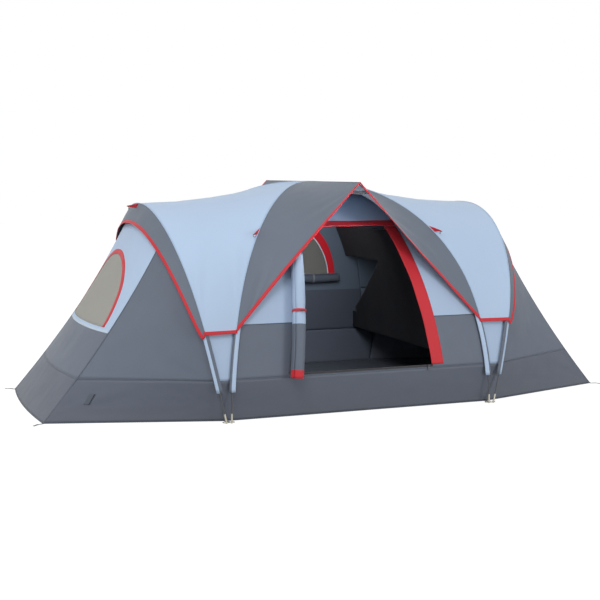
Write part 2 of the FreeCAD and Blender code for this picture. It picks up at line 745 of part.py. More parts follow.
def feet():
    """Steel tips on the pole ends, and at each corner a ring with two pins and a webbing."""
    play = 2 * bore_gap
    tips, pins, rings, straps = [], [], [], []
    level = eye_d / 2
    for arch in (dome, hoop_left):
        low, high = arch.at_height(tip_foot), arch.at_height(tip_foot + tip_l)
        rod_seat = arch.at_height(tip_foot + pin_l + 1.0)
        tip = arch.tube(low, high, tip_d, pin_d + play)
        tips.append(tip.cut(arch.tube(rod_seat, high, pole_d + play)))
        base = arch.point(low)
        eye = cylinder(V(base.x - 4, -foot_y, level), V(1, 0, 0), eye_d, 8)
        collar = arch.tube(arch.at_height(level), arch.at_height(tip_foot - 0.4), tip_d)
        stub = arch.tube(arch.at_height(level), arch.at_height(tip_foot + pin_l), pin_d)
        hole = cylinder(V(base.x - 20, -foot_y, level), V(1, 0, 0), ring_wire + play, 40)
        pins.append(eye.fuse(collar).fuse(stub).cut(hole).removeSplitter())
    half, bend = foot_spread + 7, ring_depth / 2
    front, rear = -foot_y, -foot_y + ring_depth
    a, b = V(-foot_x - half, front, level), V(-foot_x + half, front, level)
    c, d = V(b.x, rear, level), V(a.x, rear, level)
    right, left = V(b.x + bend, front + bend, level), V(a.x - bend, front + bend, level)
    loop = Part.Wire([Part.LineSegment(a, b).toShape(), Part.Arc(b, right, c).toShape(),
                      Part.LineSegment(c, d).toShape(), Part.Arc(d, left, a).toShape()])
    section = Part.Wire([Part.Circle(a, V(1, 0, 0), ring_wire / 2).toShape()])
    rings.append(loop.makePipeShell([section], True, False))
    start = V(-foot_x - webbing_w / 2, rear, level)
    bore = ring_wire + 2 * wrap_gap
    wrap = cylinder(start, V(1, 0, 0), bore + 2 * webbing_t, webbing_w)
    under = level - bore / 2 - webbing_t
    tail = box(start.x, start.x + webbing_w, rear, -hem_y - 0.4, under, under + webbing_t)
    strap = wrap.fuse(tail).cut(cylinder(start, V(1, 0, 0), bore, webbing_w))
    straps.append(strap.removeSplitter())
    for name, group in (("pole_tips", tips), ("foot_pins", pins), ("foot_rings", rings),
                        ("foot_webbings", straps)):
        save(name, *[copy for solid in group for copy in four(solid)])


def clip(arch, phi, wall_point, tail_gap):
    """A plastic hook snapped on a pole, with a tail sewn to the cloth below."""
    p, along, down = arch.point(phi), arch.along(phi), V(arch.away(phi)) * -1
    start = p - along * (clip_w / 2)
    reach = (p - wall_point).Length - tail_gap
    side = along.cross(down)
    shank = Part.Face(Part.Wire(polygon([start + side * clip_t, start - side * clip_t,
                                         start - side * clip_t + down * reach,
                                         start + side * clip_t + down * reach])))
    seat_d = pole_d + 2 * clip_play
    body = cylinder(start, along, seat_d + 2 * clip_t, clip_w)
    body = body.fuse(shank.extrude(along * clip_w)).cut(cylinder(start, along, seat_d, clip_w))
    mouth = Part.Face(Part.Wire(polygon([start + side * clip_mouth, start - side * clip_mouth,
                                         start - side * clip_mouth - down * pole_d,
                                         start + side * clip_mouth - down * pole_d])))
    return body.cut(mouth.extrude(along * clip_w)).removeSplitter()


def clips():
    """A clip at the middle of each rod above the sleeves, apart from the rods that cross."""
    made = []
    for phi in rod_middles(dome, dome_rods):
        if abs(phi - 90.0) > 1.0:
            seat = dome.point(phi, wall_lift)
            made.append(clip(dome_lower, phi, seat, dome_tail_gap))
            made.append(clip(dome_upper, phi, V(-seat.x, seat.y, seat.z), dome_tail_gap))
    for arch in (hoop_left, hoop_right):
        for phi in rod_middles(arch, hoop_rods):
            made.append(clip(arch, phi, arch.point(phi, hoop_wall_lift), hoop_tail_gap))
    save("pole_clips", *made)


def leg_sleeves():
    """Flat cloth sleeves that hold the lowest stretch of each pole against the wall."""
    def sleeve(arch, side):
        turn = math.radians(side)
        lateral = V(math.cos(turn), -math.sin(turn), 0)

        def tunnel(width, depth, extra):
            sections = []
            low, high = arch.at_height(sleeve_low - extra), arch.at_height(sleeve_high + extra)
            for phi in steps(low, high, 3):
                out = lateral.cross(arch.along(phi)).normalize()
                p = arch.point(phi)
                corners = [p + lateral * (width / 2 * a) + out * (depth / 2 * b)
                           for a, b in ((-1, -1), (1, -1), (1, 1), (-1, 1))]
                sections.append(Part.Wire(polygon(corners)))
            return Part.makeLoft(sections, True, False)

        thin = 2 * sleeve_wall
        return tunnel(sleeve_w, sleeve_t, 0).cut(tunnel(sleeve_w - thin, sleeve_t - thin, 5))

    lower = sleeve(dome_lower, dome_sleeve_turn)
    upper = sleeve(dome_pole(-1, over), dome_sleeve_turn)
    save("pole_sleeves", lower, flip(lower, True, True), flip(upper, True),
         flip(upper, False, True), *four(sleeve(hoop_left, hoop_sleeve_turn)))


# ------------------------------------------------------------------ rolled door and small parts
def off_wall(x, z, distance):
    """A point in front of the long wall, square to its face."""
    slope = wall_y(z + 5) - wall_y(z - 5)
    normal = V(0, -10, slope).normalize()
    return V(x, wall_y(z), z) + normal * distance


def roll_axis(z):
    lean = (z - roll_low) / (roll_high - roll_low)
    return off_wall(mix(roll_x_low, roll_x_high, lean), z, roll_d / 2 + roll_gap)


def roll_piece(z0, z1, diameter, bore=0.0):
    path = Part.Arc(roll_axis(z0), roll_axis((z0 + z1) / 2), roll_axis(z1)).toShape()
    first = path.tangentAt(path.FirstParameter)
    sides = [Part.Wire([path]).makePipeShell(
        [Part.Wire([Part.Circle(roll_axis(z0), first, d / 2).toShape()])], True, False)
        for d in (diameter, bore) if d]
    return sides[0] if len(sides) == 1 else sides[0].cut(sides[1])


def door_roll():
    """The door flap, rolled up along the doorway's left side and tied."""
    save("door_roll", roll_piece(roll_low, roll_high, roll_d, roll_core))
    middle = roll_axis(tie_z)
    tie = roll_piece(roll_low, roll_high, roll_d + 2 * (wrap_gap + tape_t), roll_d + 2 * wrap_gap)
    tie = tie.common(band_of(middle.z - tie_w / 2, middle.z + tie_w / 2))
    save("door_roll_tie", tie)
    upright = abs(off_wall(0, tie_z, 1.0).y - wall_y(tie_z))
    hub = middle - V(0, (roll_d / 2 + tape_t + toggle_d / 2) / upright, 0)
    toggle = cylinder(hub - V(toggle_l / 2, 0, 0), V(1, 0, 0), toggle_d, toggle_l, 3.0)
    save("door_tie_toggle", toggle)


def rear_roll():
    """The rear window's inner flap, rolled down below the window and held by two loops."""
    depth = fabric + tape_gap + tape_t + roll_rest + rear_roll_d / 2
    axis = off_wall(0, window_low, -depth)
    start = V(-window_r - 8, -axis.y, axis.z)
    save("rear_window_roll", cylinder(start, V(1, 0, 0), rear_roll_d, -2 * start.x, roll_core))
    ties = [cylinder(V(x - tie_w / 2, -axis.y, axis.z), V(1, 0, 0),
                     rear_roll_d + 2 * (wrap_gap + tape_t), tie_w, rear_roll_d + 2 * wrap_gap)
            for x in (-rear_tie_x, rear_tie_x)]
    save("rear_roll_ties", *ties)


def sill_slider():
    """The sill zip's slider and its pull, which hangs from the slider's bail."""
    z = door_low - zip_w / 2
    face = off_wall(0, z, tape_t + tape_gap + slider_gap).y
    x = slider_x
    body = box(x - slider_l / 2, x + slider_l / 2, face - slider_t, face, z - slider_w / 2,
               z + slider_w / 2)
    body = body.makeFillet(slider_round, [e for e in body.Edges if abs(e.tangentAt(0).x) < 0.5])
    hook = V(x, face - slider_t - pull_t - hook_gap, z)
    eye = cylinder(hook - V(3, 0, 0), V(1, 0, 0), 2 * pull_t + 2.2, 6, pull_pin + 0.5)
    save("sill_slider", body.fuse(eye).removeSplitter())
    half = pull_w / 2
    fork = box(x - half, x + half, hook.y - pull_t / 2, hook.y + pull_t / 2, z - pull_l, z + 1.8)
    fork = fork.cut(box(x - 3.4, x + 3.4, hook.y - pull_t, hook.y + pull_t, z - 5, z + 3))
    axle = cylinder(V(x - half, hook.y, z), V(1, 0, 0), pull_pin, pull_w)
    eyelet = cylinder(V(x, hook.y - pull_t, z - pull_l + 6), V(0, 1, 0), 4.0, 2 * pull_t)
    save("sill_pull", fork.fuse(axle).cut(eyelet).removeSplitter())


def tab(a, b, tip, side):
    """A triangular reinforced tab with a hole near its tip, and the ring that hangs in it."""
    plate = Part.Face(Part.Wire(polygon([a, b, tip]))).extrude(side * webbing_t)
    plate.translate(side * (-webbing_t / 2))
    root = (a + b) * 0.5
    hole = tip + (root - tip).normalize() * tab_hole
    plate = plate.cut(cylinder(hole - side * 5, side, ring_bar + 2 * ring_play, 10))
    middle = hole - V(0, 0, (ring_d - ring_bar) / 2)
    ring = Part.makeTorus((ring_d - ring_bar) / 2, ring_bar / 2, middle, side.cross(V(0, 0, 1)))
    return plate, ring


def guy_tabs():
    half = math.degrees(tab_w / 2 / dome.radii[1])
    phi = tab_turn
    side = dome.axis
    out = V(dome.out)
    a, b = dome.point(phi - half, fly_lift + 1.0), dome.point(phi + half, fly_lift + 1.0)
    plate, ring = tab(a, b, (a + b) * 0.5 + out * tab_l - V(0, 0, tab_l * tab_droop), side)
    plates = four(plate)
    for name, x, y in (("front_left", False, False), ("front_right", True, False),
                       ("rear_left", False, True), ("rear_right", True, True)):
        save("guy_ring_" + name, flip(ring, x, y))
    slope = V(-math.cos(math.radians(band_slope)), 0, -math.sin(math.radians(band_slope)))
    off = V(slope.z, 0, -slope.x) * 0.6
    a = hoop_left.point(90.0, fly_lift) + off + slope * 4
    b = a + slope * (tab_w * 0.6)
    plate, ring = tab(a, b, a + V(-tab_l, 0, -tab_l * tab_droop), V(0, 1, 0))
    save("guy_tabs", *plates, *pair(plate))
    save("guy_ring_left", ring)
    save("guy_ring_right", flip(ring, True))


def peg_loops():
    """Webbing loops at the four pegged corners, each with a steel eyelet."""
    out = V(-0.8, -0.6, 0)
    corner = V(-corner_x, -corner_y, 0) + out * 0.4
    side = V(-out.y, out.x, 0) * (loop_w / 2)
    far = corner + out * loop_l
    outline = polygon([corner + side, corner - side, far - side, far + side])
    hole = corner + out * (loop_l - loop_w / 2)
    strap = prism(outline, V(0, 0, webbing_t)).cut(cylinder(hole, V(0, 0, 1), eyelet_d + 5.4,
                                                            webbing_t))
    eyelet = cylinder(hole, V(0, 0, 1), eyelet_d + 5, webbing_t, eyelet_d)
    save("peg_loops", *four(strap))
    save("peg_eyelets", *four(eyelet))


def cable_port():
    """A flap over the lead-in slit, near the front left corner."""
    low = V(-foot_x, -hem_y, fabric), V(-corner_x, -corner_y, fabric)
    high = seam_point(bathtub_h)
    top = hoop_left.point(hoop_left.at_height(bathtub_h, hoop_wall_lift), hoop_wall_lift), high
    off = V(-0.33, -0.92, 0.2) * (tape_t + 0.5)
    rows = []
    for t in (port_low, port_high):
        rows.append([mix(mix(low[0], low[1], s), mix(top[0], top[1], s), t) + off
                     for s in (port_near, port_far)])
    save("cable_port_flap", sheet(rows, tape_t))


bathtub()
long_walls()
end_rooms()
roof_cloth()
divider()
door_trim()
poles()
feet()
clips()
leg_sleeves()
rain_roof()
door_roll()
rear_roll()
sill_slider()
guy_tabs()
peg_loops()
cable_port()
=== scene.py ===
"""Looks of the pole tent: every cloth, tape, strap and roll as its own mesh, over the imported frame.
Metres, +Z up, the door on -Y, the length along X, the origin on the ground under the crossing."""
import math

import bmesh
import bpy
import numpy as np
from mathutils import Matrix, Vector


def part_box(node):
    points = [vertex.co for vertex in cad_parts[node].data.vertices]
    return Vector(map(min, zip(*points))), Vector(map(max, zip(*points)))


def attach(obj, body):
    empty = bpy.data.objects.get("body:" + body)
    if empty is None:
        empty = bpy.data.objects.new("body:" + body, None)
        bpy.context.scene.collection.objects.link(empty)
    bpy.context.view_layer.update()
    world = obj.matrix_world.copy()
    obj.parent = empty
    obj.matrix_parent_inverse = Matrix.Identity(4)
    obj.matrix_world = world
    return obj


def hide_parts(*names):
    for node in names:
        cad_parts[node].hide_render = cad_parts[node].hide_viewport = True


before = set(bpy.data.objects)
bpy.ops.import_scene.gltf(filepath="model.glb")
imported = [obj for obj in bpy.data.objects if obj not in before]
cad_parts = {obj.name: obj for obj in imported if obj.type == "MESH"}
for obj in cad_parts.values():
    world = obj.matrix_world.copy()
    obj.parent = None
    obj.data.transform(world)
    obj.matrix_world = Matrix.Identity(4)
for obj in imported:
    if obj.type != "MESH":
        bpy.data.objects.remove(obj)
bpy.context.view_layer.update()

# --- sizes, in metres and degrees
FOOT_X, FOOT_Y, FOOT_SPREAD = 1.052, 1.150, 0.018
CORNER_X, CORNER_Y = 2.275, 0.700
HEM_Y, HEM_BOW, SEAM_SAG, TUB_BOW = 1.062, 0.038, 0.055, 0.006
BATHTUB_H, SKIRT_H, FLOOR_Z = 0.300, 0.680, 0.003
POLE_D, CROSSING_GAP = 0.0095, 0.0004
SLEEVE_W, SLEEVE_T, SLEEVE_LOW, SLEEVE_HIGH = 0.044, 0.017, 0.219, 0.700
DOME_SLEEVE_TURN, HOOP_SLEEVE_TURN = -1.5, 16.0
CLEARANCE = 0.0023  # between the sleeves and the inner tent
WALL_TOP = 84.0  # place on the dome where the long walls end
DOME_H, DOME_LEG, DOME_CROWN, DOME_FLAT = 1.652, 22.0, 85.0, 2.30
HOOP_H, HOOP_LEAN, HOOP_LEG, HOOP_CROWN, HOOP_FLAT = 1.495, 0.22, 9.5, 85.0, 1.54
HOOP_SEAM_TURN = 57.0
FLY_LOW, FLY_LIFT, ROOF_TOP = 0.628, 0.019, 1.6816
RIDGE_REACH, PEAK_Z, CROSSING_FREE, EDGE_SAG = 1.014, 1.6815, 0.026, 0.025
BAND_DROP, BAND_LEAST, BAND_SLOPE = 0.173, 0.030, 60.0
TAPE_W, ROOF_SAG = 0.024, 0.038
DOOR_LOW, DOOR_HIGH, DOOR_FOOT, DOOR_HEAD, DOOR_BULGE = 0.325, 1.368, 0.560, 0.330, 0.026
FLAP_W, TRIM_W, ZIP_W = 0.092, 0.040, 0.016
ROLL_D, ROLL_CORE, ROLL_GAP, ROLL_LOW, ROLL_HIGH = 0.104, 0.018, 0.0074, 0.292, 1.130
ROLL_X_LOW, ROLL_X_HIGH, TIE_Z, TIE_W = -0.555, -0.468, 0.760, 0.018
ROLL_END = 0.350  # the roll's red foot reaches up to here
WINDOW_R, WINDOW_MID, WINDOW_LOW, WINDOW_TAPE = 0.680, 0.700, 0.815, 0.065
REAR_ROLL_D, REAR_TIE_X, REAR_ROLL_SAG = 0.084, 0.430, 0.004
END_HALF, END_LOW, END_HIGH, END_TAPE = 0.560, 0.640, 1.165, 0.036
END_BREAK, PIPING_H = 0.610, 0.013  # the end wall is dark below its piping
DIVIDER_LOW, DIVIDER_HIGH, DIVIDER_FOOT_X, DIVIDER_TOP_X = 0.320, 1.290, 0.905, 0.560
PASS_LOW, PASS_HIGH, PASS_REACH, SELVAGE = 0.470, 1.000, 0.700, 0.060
TAB_TURN, TAB_W, TAB_L, TAB_FALL = 48.14, 0.066, 0.092, 0.2
LOOP_L, LOOP_W, LOOP_RISE = 0.088, 0.020, 0.0035
RING_IN, RING_Z, RING_WRAP = 0.034, 0.0065, 0.0042
STRAP_IN, STRAP_DROP, STRAP_SAG, WEBBING_W = 0.016, 0.058, 0.006, 0.025
PORT_LOW, PORT_HIGH, PORT_NEAR, PORT_FAR = 0.42, 0.66, 0.80, 0.84  # shares of the tub's slope

CLOTH, NET, TAPE, WEBBING = 0.0011, 0.0003, 0.0008, 0.0014  # drawn thicknesses
PROUD = 0.0004  # a tape's inner face stands this far off the cloth
HEM_R, SEAM_R, ROOF_SEAM_R, RIDGE_SEAM_R = 0.0036, 0.0030, 0.0038, 0.0026
HEM_LIFT, TUB_SEAM_H, SKIRT_SEAM_HALF = 0.0015, 0.004, 0.003
MID_SHARE = 0.46  # the floor's straight middle, as a share of its drawn length
CELL = 0.022  # size of the cloth meshes' cells
EPS = 1e-6
SEWN_PROBE = 0.2  # where a folded tape's face is judged, along its row
WALL_STEP = 0.005  # over which a wall's slope is measured
ROOF_RISE_POWER = 10  # how late the roof's line leaves the pole, on its way to the top
MIDDLE = np.array([0.0, 0.0, 0.5])
SIDES = ("left", False), ("right", True)  # name, mirrored along X
FRONTS = ("front", False), ("rear", True)  # name, mirrored along Y


# --- poles' lines
class Arch:
    """A pole bent into five tangent arcs; a place on it is an angle from 0 to 180 degrees."""

    def __init__(self, start, end, rise, leg_turn, crown_turn, flatness):
        start, end, rise = (np.array(p, float) for p in (start, end, rise))
        self.mid = (start + end) / 2
        half, height = np.linalg.norm(start - self.mid), np.linalg.norm(rise)
        self.out, self.up = (start - self.mid) / half, rise / height
        a, b = math.radians(leg_turn), math.radians(crown_turn)
        side = (1 - math.cos(a), math.cos(a) - math.cos(b) + flatness * math.cos(b))
        tall = (math.sin(a), math.sin(b) - math.sin(a) + flatness * (1 - math.sin(b)))
        det = side[0] * tall[1] - side[1] * tall[0]
        leg = (half * tall[1] - height * side[1]) / det
        shoulder = (side[0] * height - tall[0] * half) / det
        crown = shoulder * flatness
        low = (half - leg, 0.0)
        mid = (low[0] + (leg - shoulder) * math.cos(a), (leg - shoulder) * math.sin(a))
        self.turns = np.array([0, leg_turn, crown_turn, 180 - crown_turn, 180 - leg_turn, 180.0])
        self.radii = np.array([leg, shoulder, crown, shoulder, leg])
        self.centres = np.array([low, mid, (0.0, height - crown), (-mid[0], mid[1]), (-low[0], 0)])
        self.table = np.linspace(0.0, 180.0, 7201)
        spans = np.clip(self.table[:, None] - self.turns[None, :5], 0, np.diff(self.turns))
        self.lengths = (np.radians(spans) * self.radii).sum(1)

    def point(self, phi, lift=0.0):
        phi = np.asarray(phi, float)
        index = np.clip(np.searchsorted(self.turns[1:5], phi), 0, 4)
        reach = self.radii[index] + lift
        across = self.centres[index, 0] + reach * np.cos(np.radians(phi))
        height = self.centres[index, 1] + reach * np.sin(np.radians(phi))
        return self.mid + across[..., None] * self.out + height[..., None] * self.up

    def along(self, phi):
        phi = np.radians(phi)
        return self.up * math.cos(phi) - self.out * math.sin(phi)

    def length_at(self, phi):
        return np.interp(phi, self.table, self.lengths)

    def even(self, first, last, count):
        """Places at even steps of length from the first to the last."""
        ends = self.length_at((first, last))
        return np.interp(np.linspace(*ends, count + 1), self.lengths, self.table)

    def at_height(self, z, lift=0.0):
        rising = self.table[:len(self.table) // 2 + 1]
        return np.interp(z, self.point(rising, lift)[:, 2], rising)


def dome_arch(extra):
    return Arch((-dome_x, -FOOT_Y, 0), (dome_x, FOOT_Y, 0), (0, 0, DOME_H + extra), DOME_LEG,
                DOME_CROWN, DOME_FLAT)


over = POLE_D + CROSSING_GAP
dome_x, hoop_x = FOOT_X - FOOT_SPREAD, FOOT_X + FOOT_SPREAD
dome = dome_arch(over / 2)
hoop = Arch((-hoop_x, -FOOT_Y, 0), (-hoop_x, FOOT_Y, 0), (-HOOP_LEAN * HOOP_H, 0, HOOP_H),
            HOOP_LEG, HOOP_CROWN, HOOP_FLAT)
wall_lift = -(SLEEVE_T + over) / 2 - CLEARANCE
hoop_wall_lift = -(SLEEVE_T / 2 + CLEARANCE) / math.cos(math.radians(HOOP_SLEEVE_TURN)) ** 2
seam_top = hoop.point(HOOP_SEAM_TURN, hoop_wall_lift)
tub_top = hoop.point(hoop.at_height(BATHTUB_H, hoop_wall_lift), hoop_wall_lift)
hem_foot = np.array([-FOOT_X, -HEM_Y, FLOOR_Z])
hem_corner = np.array([-CORNER_X, -CORNER_Y, FLOOR_Z])
band_fall = np.array([-math.cos(math.radians(BAND_SLOPE)), 0, -math.sin(math.radians(BAND_SLOPE))])
wall_turns = np.linspace(dome.at_height(BATHTUB_H - 0.02, wall_lift), WALL_TOP, 4000)
wall_line = dome.point(wall_turns, wall_lift)


# --- grids of points
def mix(a, b, t):
    return a + (b - a) * t


def row(first, last, count):
    return np.linspace(first, last, count)[None, :]


def col(first, last, count):
    return np.linspace(first, last, count)[:, None]


def points(x, y, z):
    return np.stack(np.broadcast_arrays(x, y, z), -1)


def unit(vectors):
    return vectors / np.linalg.norm(vectors, axis=-1, keepdims=True)


def mirror(grid, across_x=False, across_y=False):
    """The same grid at the other end, or at the rear."""
    return grid * np.array([-1.0 if across_x else 1.0, -1.0 if across_y else 1.0, 1.0])


def at_corners(grid):
    return [mirror(grid, right, rear) for _, right in SIDES for _, rear in FRONTS]


def at_ends(grid):
    return [grid, mirror(grid, True)]


def at_walls(grid):
    return [grid, mirror(grid, False, True)]


def both_halves(grid):
    """A grid from the front to the crossing's line, carried on to the rear."""
    return np.concatenate([grid, mirror(grid[:-1][::-1], False, True)])


def rulings(a, b, count):
    """A grid of straight lines from each point of a to the same point of b."""
    return mix(a[:, None], b[:, None], np.linspace(0, 1, count + 1)[None, :, None])


def stops(*heights, cell=CELL):
    """Heights from the first to the last in even steps that fall on each one named."""
    rows = [heights[0]]
    for a, b in zip(heights, heights[1:]):
        count = max(1, round((b - a) / cell))
        rows += [mix(a, b, (k + 1) / count) for k in range(count)]
    return np.array(rows)


def normals(grid):
    """Unit normals of a grid, turned away from the tent's middle."""
    cross = np.cross(np.gradient(grid, axis=0), np.gradient(grid, axis=1))
    cross = cross / np.maximum(np.linalg.norm(cross, axis=2, keepdims=True), 1e-12)
    middle = tuple(n // 2 for n in grid.shape[:2])
    return cross if cross[middle] @ (grid[middle] - MIDDLE) > 0 else -cross


def off(grid, distance):
    return grid + normals(grid) * distance


def lengths(grid, axis):
    """How far along its row or column each point lies, measured on the grid."""
    steps = np.linalg.norm(np.diff(grid, axis=axis), axis=2)
    return np.pad(np.cumsum(steps, axis), ((1 - axis, 0), (axis, 0)))


def ripple(u, v, seed, wave):
    """A smooth uneven surface between about -1 and 1, from waves in many directions."""
    draw = np.random.default_rng(seed)
    total = np.zeros_like(u)
    for _ in range(14):
        angle, phase = draw.uniform(0, 2 * math.pi, 2)
        pitch = wave * draw.uniform(0.6, 1.7)
        total += np.sin(2 * math.pi * (u * math.cos(angle) + v * math.sin(angle)) / pitch + phase)
    return total / 5.0


def drape(grid, seed, depth, wave, pulls=(), loose=0.0):
    """Soften a taut cloth: shallow ripples, and creases that fan out from its strained corners,
    each given by its row and column as shares, its reach, its folds and their size. The edges
    stay where they are, so that neighbours still meet; only the last column may be a loose
    edge, which waves by a share of the ripples."""
    u, v = lengths(grid, 1), lengths(grid, 0)
    rows, cols = col(0, 1, grid.shape[0]), row(0, 1, grid.shape[1])
    free = np.clip(16 * rows * (1 - rows) * cols * (1 - cols), 0, 1) ** 0.6
    free = np.maximum(free, loose * np.clip(8 * rows * (1 - rows), 0, 1) * cols)
    height = depth * (ripple(u, v, seed, wave) + 0.35 * ripple(u, v, seed + 7, wave / 3))
    for at_row, at_col, reach, folds, size in pulls:
        corner = grid[round(at_row * (grid.shape[0] - 1)), round(at_col * (grid.shape[1] - 1))]
        away = np.linalg.norm(grid - corner, axis=2)
        turn = np.arctan2(np.abs(cols - at_col), np.abs(rows - at_row) + 1e-9)
        fan = np.sin(turn * folds * 2 + seed) + 0.5 * np.sin(turn * folds * 3.3 + seed * 2)
        height += size * fan * np.exp(-away / reach) * np.clip(away / 0.08, 0, 1)
    return off(grid, (free * height)[..., None])


def dip(grid):
    """Let a cloth that spans from the dome to a hoop dip between them where it lies flat."""
    span = row(0, 1, grid.shape[1])
    drop = ROOF_SAG * 4 * span * (1 - span) * np.clip(normals(grid)[..., 2], 0, 1) ** 3
    return grid - drop[..., None] * np.array([0, 0, 1.0])


def follow(strip, taut, soft):
    """Move points of a taut cloth by as much as its softened shape has moved beside them."""
    base, shift = taut.reshape(-1, 3), (soft - taut).reshape(-1, 3)
    flat = strip.reshape(-1, 3)
    moved = np.empty_like(flat)
    for k in range(0, len(flat), 256):
        far = np.linalg.norm(flat[k:k + 256, None] - base[None], axis=2)
        near = np.argpartition(far, 4, axis=1)[:, :4]
        weight = 1 / (np.take_along_axis(far, near, 1) + 1e-4) ** 2
        moved[k:k + 256] = (shift[near] * weight[..., None]).sum(1) / weight.sum(1)[:, None]
    return strip + moved.reshape(strip.shape)


def laid(strip, taut, soft, distance=PROUD):
    """A strip on the face of a softened cloth, or at another distance from it."""
    return off(follow(strip, taut, soft), distance)


def border(grid, width, cells=4):
    """The strip of a cloth beside its last column, from the cloth out to that edge."""
    back = grid[:, ::-1]
    strip = np.empty((len(grid), cells + 1, 3))
    for made, line, run in zip(strip, back, lengths(back, 1)):
        stations = np.linspace(min(width, run[-1]), 0, cells + 1)
        for axis in range(3):
            made[:, axis] = np.interp(stations, run, line[:, axis])
    return strip


def lengthen(strip, reach):
    """Let a strip run on past both its ends."""
    def on(last, before):
        return (last + unit(last - before) * reach)[None]
    return np.concatenate([on(strip[0], strip[1]), strip, on(strip[-1], strip[-2])])


def binding(strip):
    """A tape folded round a free edge. The strip's columns run from the cloth to that edge."""
    face = normals(strip)
    back = strip - face * (CLOTH + PROUD + TAPE)
    tip = strip[:, -1:] + (strip[:, -1:] - strip[:, -2:-1]) * 0.15 - face[:, -1:] * CLOTH / 2
    return np.concatenate([strip + face * PROUD, tip, back[:, ::-1]], 1)


def swept(path, one, two, radius, turn):
    """Rings round a path, on two directions square to it."""
    ring = np.cos(turn)[:, None] * one[:, None] + np.sin(turn)[:, None] * two[:, None]
    return path[:, None] + np.atleast_2d(radius)[..., None] * ring


def tube(path, radius, sides=8):
    """A round welt along a path of points."""
    ahead = unit(np.gradient(path, axis=0))
    side = unit(np.cross(ahead, path - MIDDLE))
    turn = np.linspace(0, 2 * math.pi, sides + 1)
    return swept(path, side, np.cross(side, ahead), radius, turn)


def square_to(ahead):
    """Two directions square to each one ahead."""
    one = unit(np.cross(ahead, (1.0, 0.0, 0.0) if abs(ahead[0, 0]) < 0.7 else (0.0, 1.0, 0.0)))
    return one, np.cross(ahead, one)


# --- meshes
def add(name, data):
    made = bpy.data.objects.new(name, data)
    bpy.context.scene.collection.objects.link(made)
    return made


def piece(name, grids, materials, node="", body="tent", thick=CLOTH, grow=-1.0, paint=None,
          keep=None, outward=True, probe=0.5, back=()):
    """One mesh from grids of points. It has the UV map "cloth" in metres and the UV map "edge",
    whose x is the distance to the nearer side of a tape. A grid is thickened inwards. Its faces
    look away from the tent's middle, judged at its middle row, a share "probe" along it. The
    materials in "back" are for its other face, and "node" names the CAD nodes it replaces."""
    parts, start = [], 0
    for grid in grids:
        m, n = grid.shape[:2]
        ids = start + np.arange(m * n).reshape(m, n)
        start += m * n
        quad = np.stack([ids[:-1, :-1], ids[:-1, 1:], ids[1:, 1:], ids[1:, :-1]], -1)
        middle = m // 2, int(n * probe)
        face = np.cross(np.gradient(grid, axis=1)[middle], np.gradient(grid, axis=0)[middle])
        if outward and face @ (grid[middle] - MIDDLE) < 0:
            quad = quad[..., ::-1]
        paints = np.zeros(quad.shape[:2], int) if paint is None else paint(grid)
        mask = np.ones(quad.shape[:2], bool) if keep is None else keep
        u, v = lengths(grid, 1), lengths(grid, 0)
        width = u[:, -1:]
        maps = [np.stack([a, v], -1).reshape(-1, 2)
                for a in (u - width / 2, np.minimum(u, width - u))]
        parts.append((grid.reshape(-1, 3), quad[mask], paints[mask], *maps))
    verts, quads, paints, *maps = (np.concatenate(part) for part in zip(*parts))
    mesh = bpy.data.meshes.new(name)
    mesh.from_pydata(verts.tolist(), [], quads.tolist())
    for label, values in zip(("cloth", "edge"), maps):
        layer = mesh.uv_layers.new(name=label)
        layer.data.foreach_set("uv", values[quads.ravel()].astype(np.float32).ravel())
    mesh.polygons.foreach_set("material_index", paints.astype(np.int32))
    work = bmesh.new()
    work.from_mesh(mesh)
    bmesh.ops.remove_doubles(work, verts=work.verts, dist=2e-5)
    bmesh.ops.delete(work, geom=[v for v in work.verts if not v.link_faces], context="VERTS")
    for face in work.faces:
        face.smooth = True
    work.to_mesh(mesh)
    work.free()
    for material in (*materials, *back):
        mesh.materials.append(material)
    made = add(name, mesh)
    if thick:
        shell = made.modifiers.new("thickness", "SOLIDIFY")
        shell.thickness, shell.offset = thick, grow
        shell.material_offset = len(materials) if back else 0
    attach(made, body)
    if node:
        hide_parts(*node.split())
    return made


def sheet(name, grid, soft, materials, node, rests_on=(), held="stretched", keep=None, **more):
    """A cloth with nothing sewn on it, made as one piece."""
    made = piece(name, [soft], materials, node, keep=keep, **more)


def tape(name, strips, material, node="", thick=TAPE, **more):
    return piece(name, strips, [material], node, thick=thick, grow=1.0, **more)


def strap(name, grids, material, node, thick=WEBBING, **more):
    return piece(name, grids, [material], node, thick=thick, grow=0.0, outward=False, **more)


def welts(name, tubes, material):
    piece(name, tubes, [material], thick=0, outward=False)


# --- materials
DUST, DUST_H = (0.17, 0.16, 0.15), 0.16  # its colour, and how high it reaches
STITCH, STITCH_SHARE, STITCH_HALF, RUBBED_W = 0.0042, 0.62, 0.0005, 0.0012
COIL_HALF, TOOTH = 0.0032, 0.0018


def linear(code):
    """A colour written as RRGGBB, in the linear values that a shader takes."""
    values = [int(code[k:k + 2], 16) / 255 for k in (0, 2, 4)]
    return tuple(v / 12.92 if v <= 0.04045 else ((v + 0.055) / 1.055) ** 2.4 for v in values)


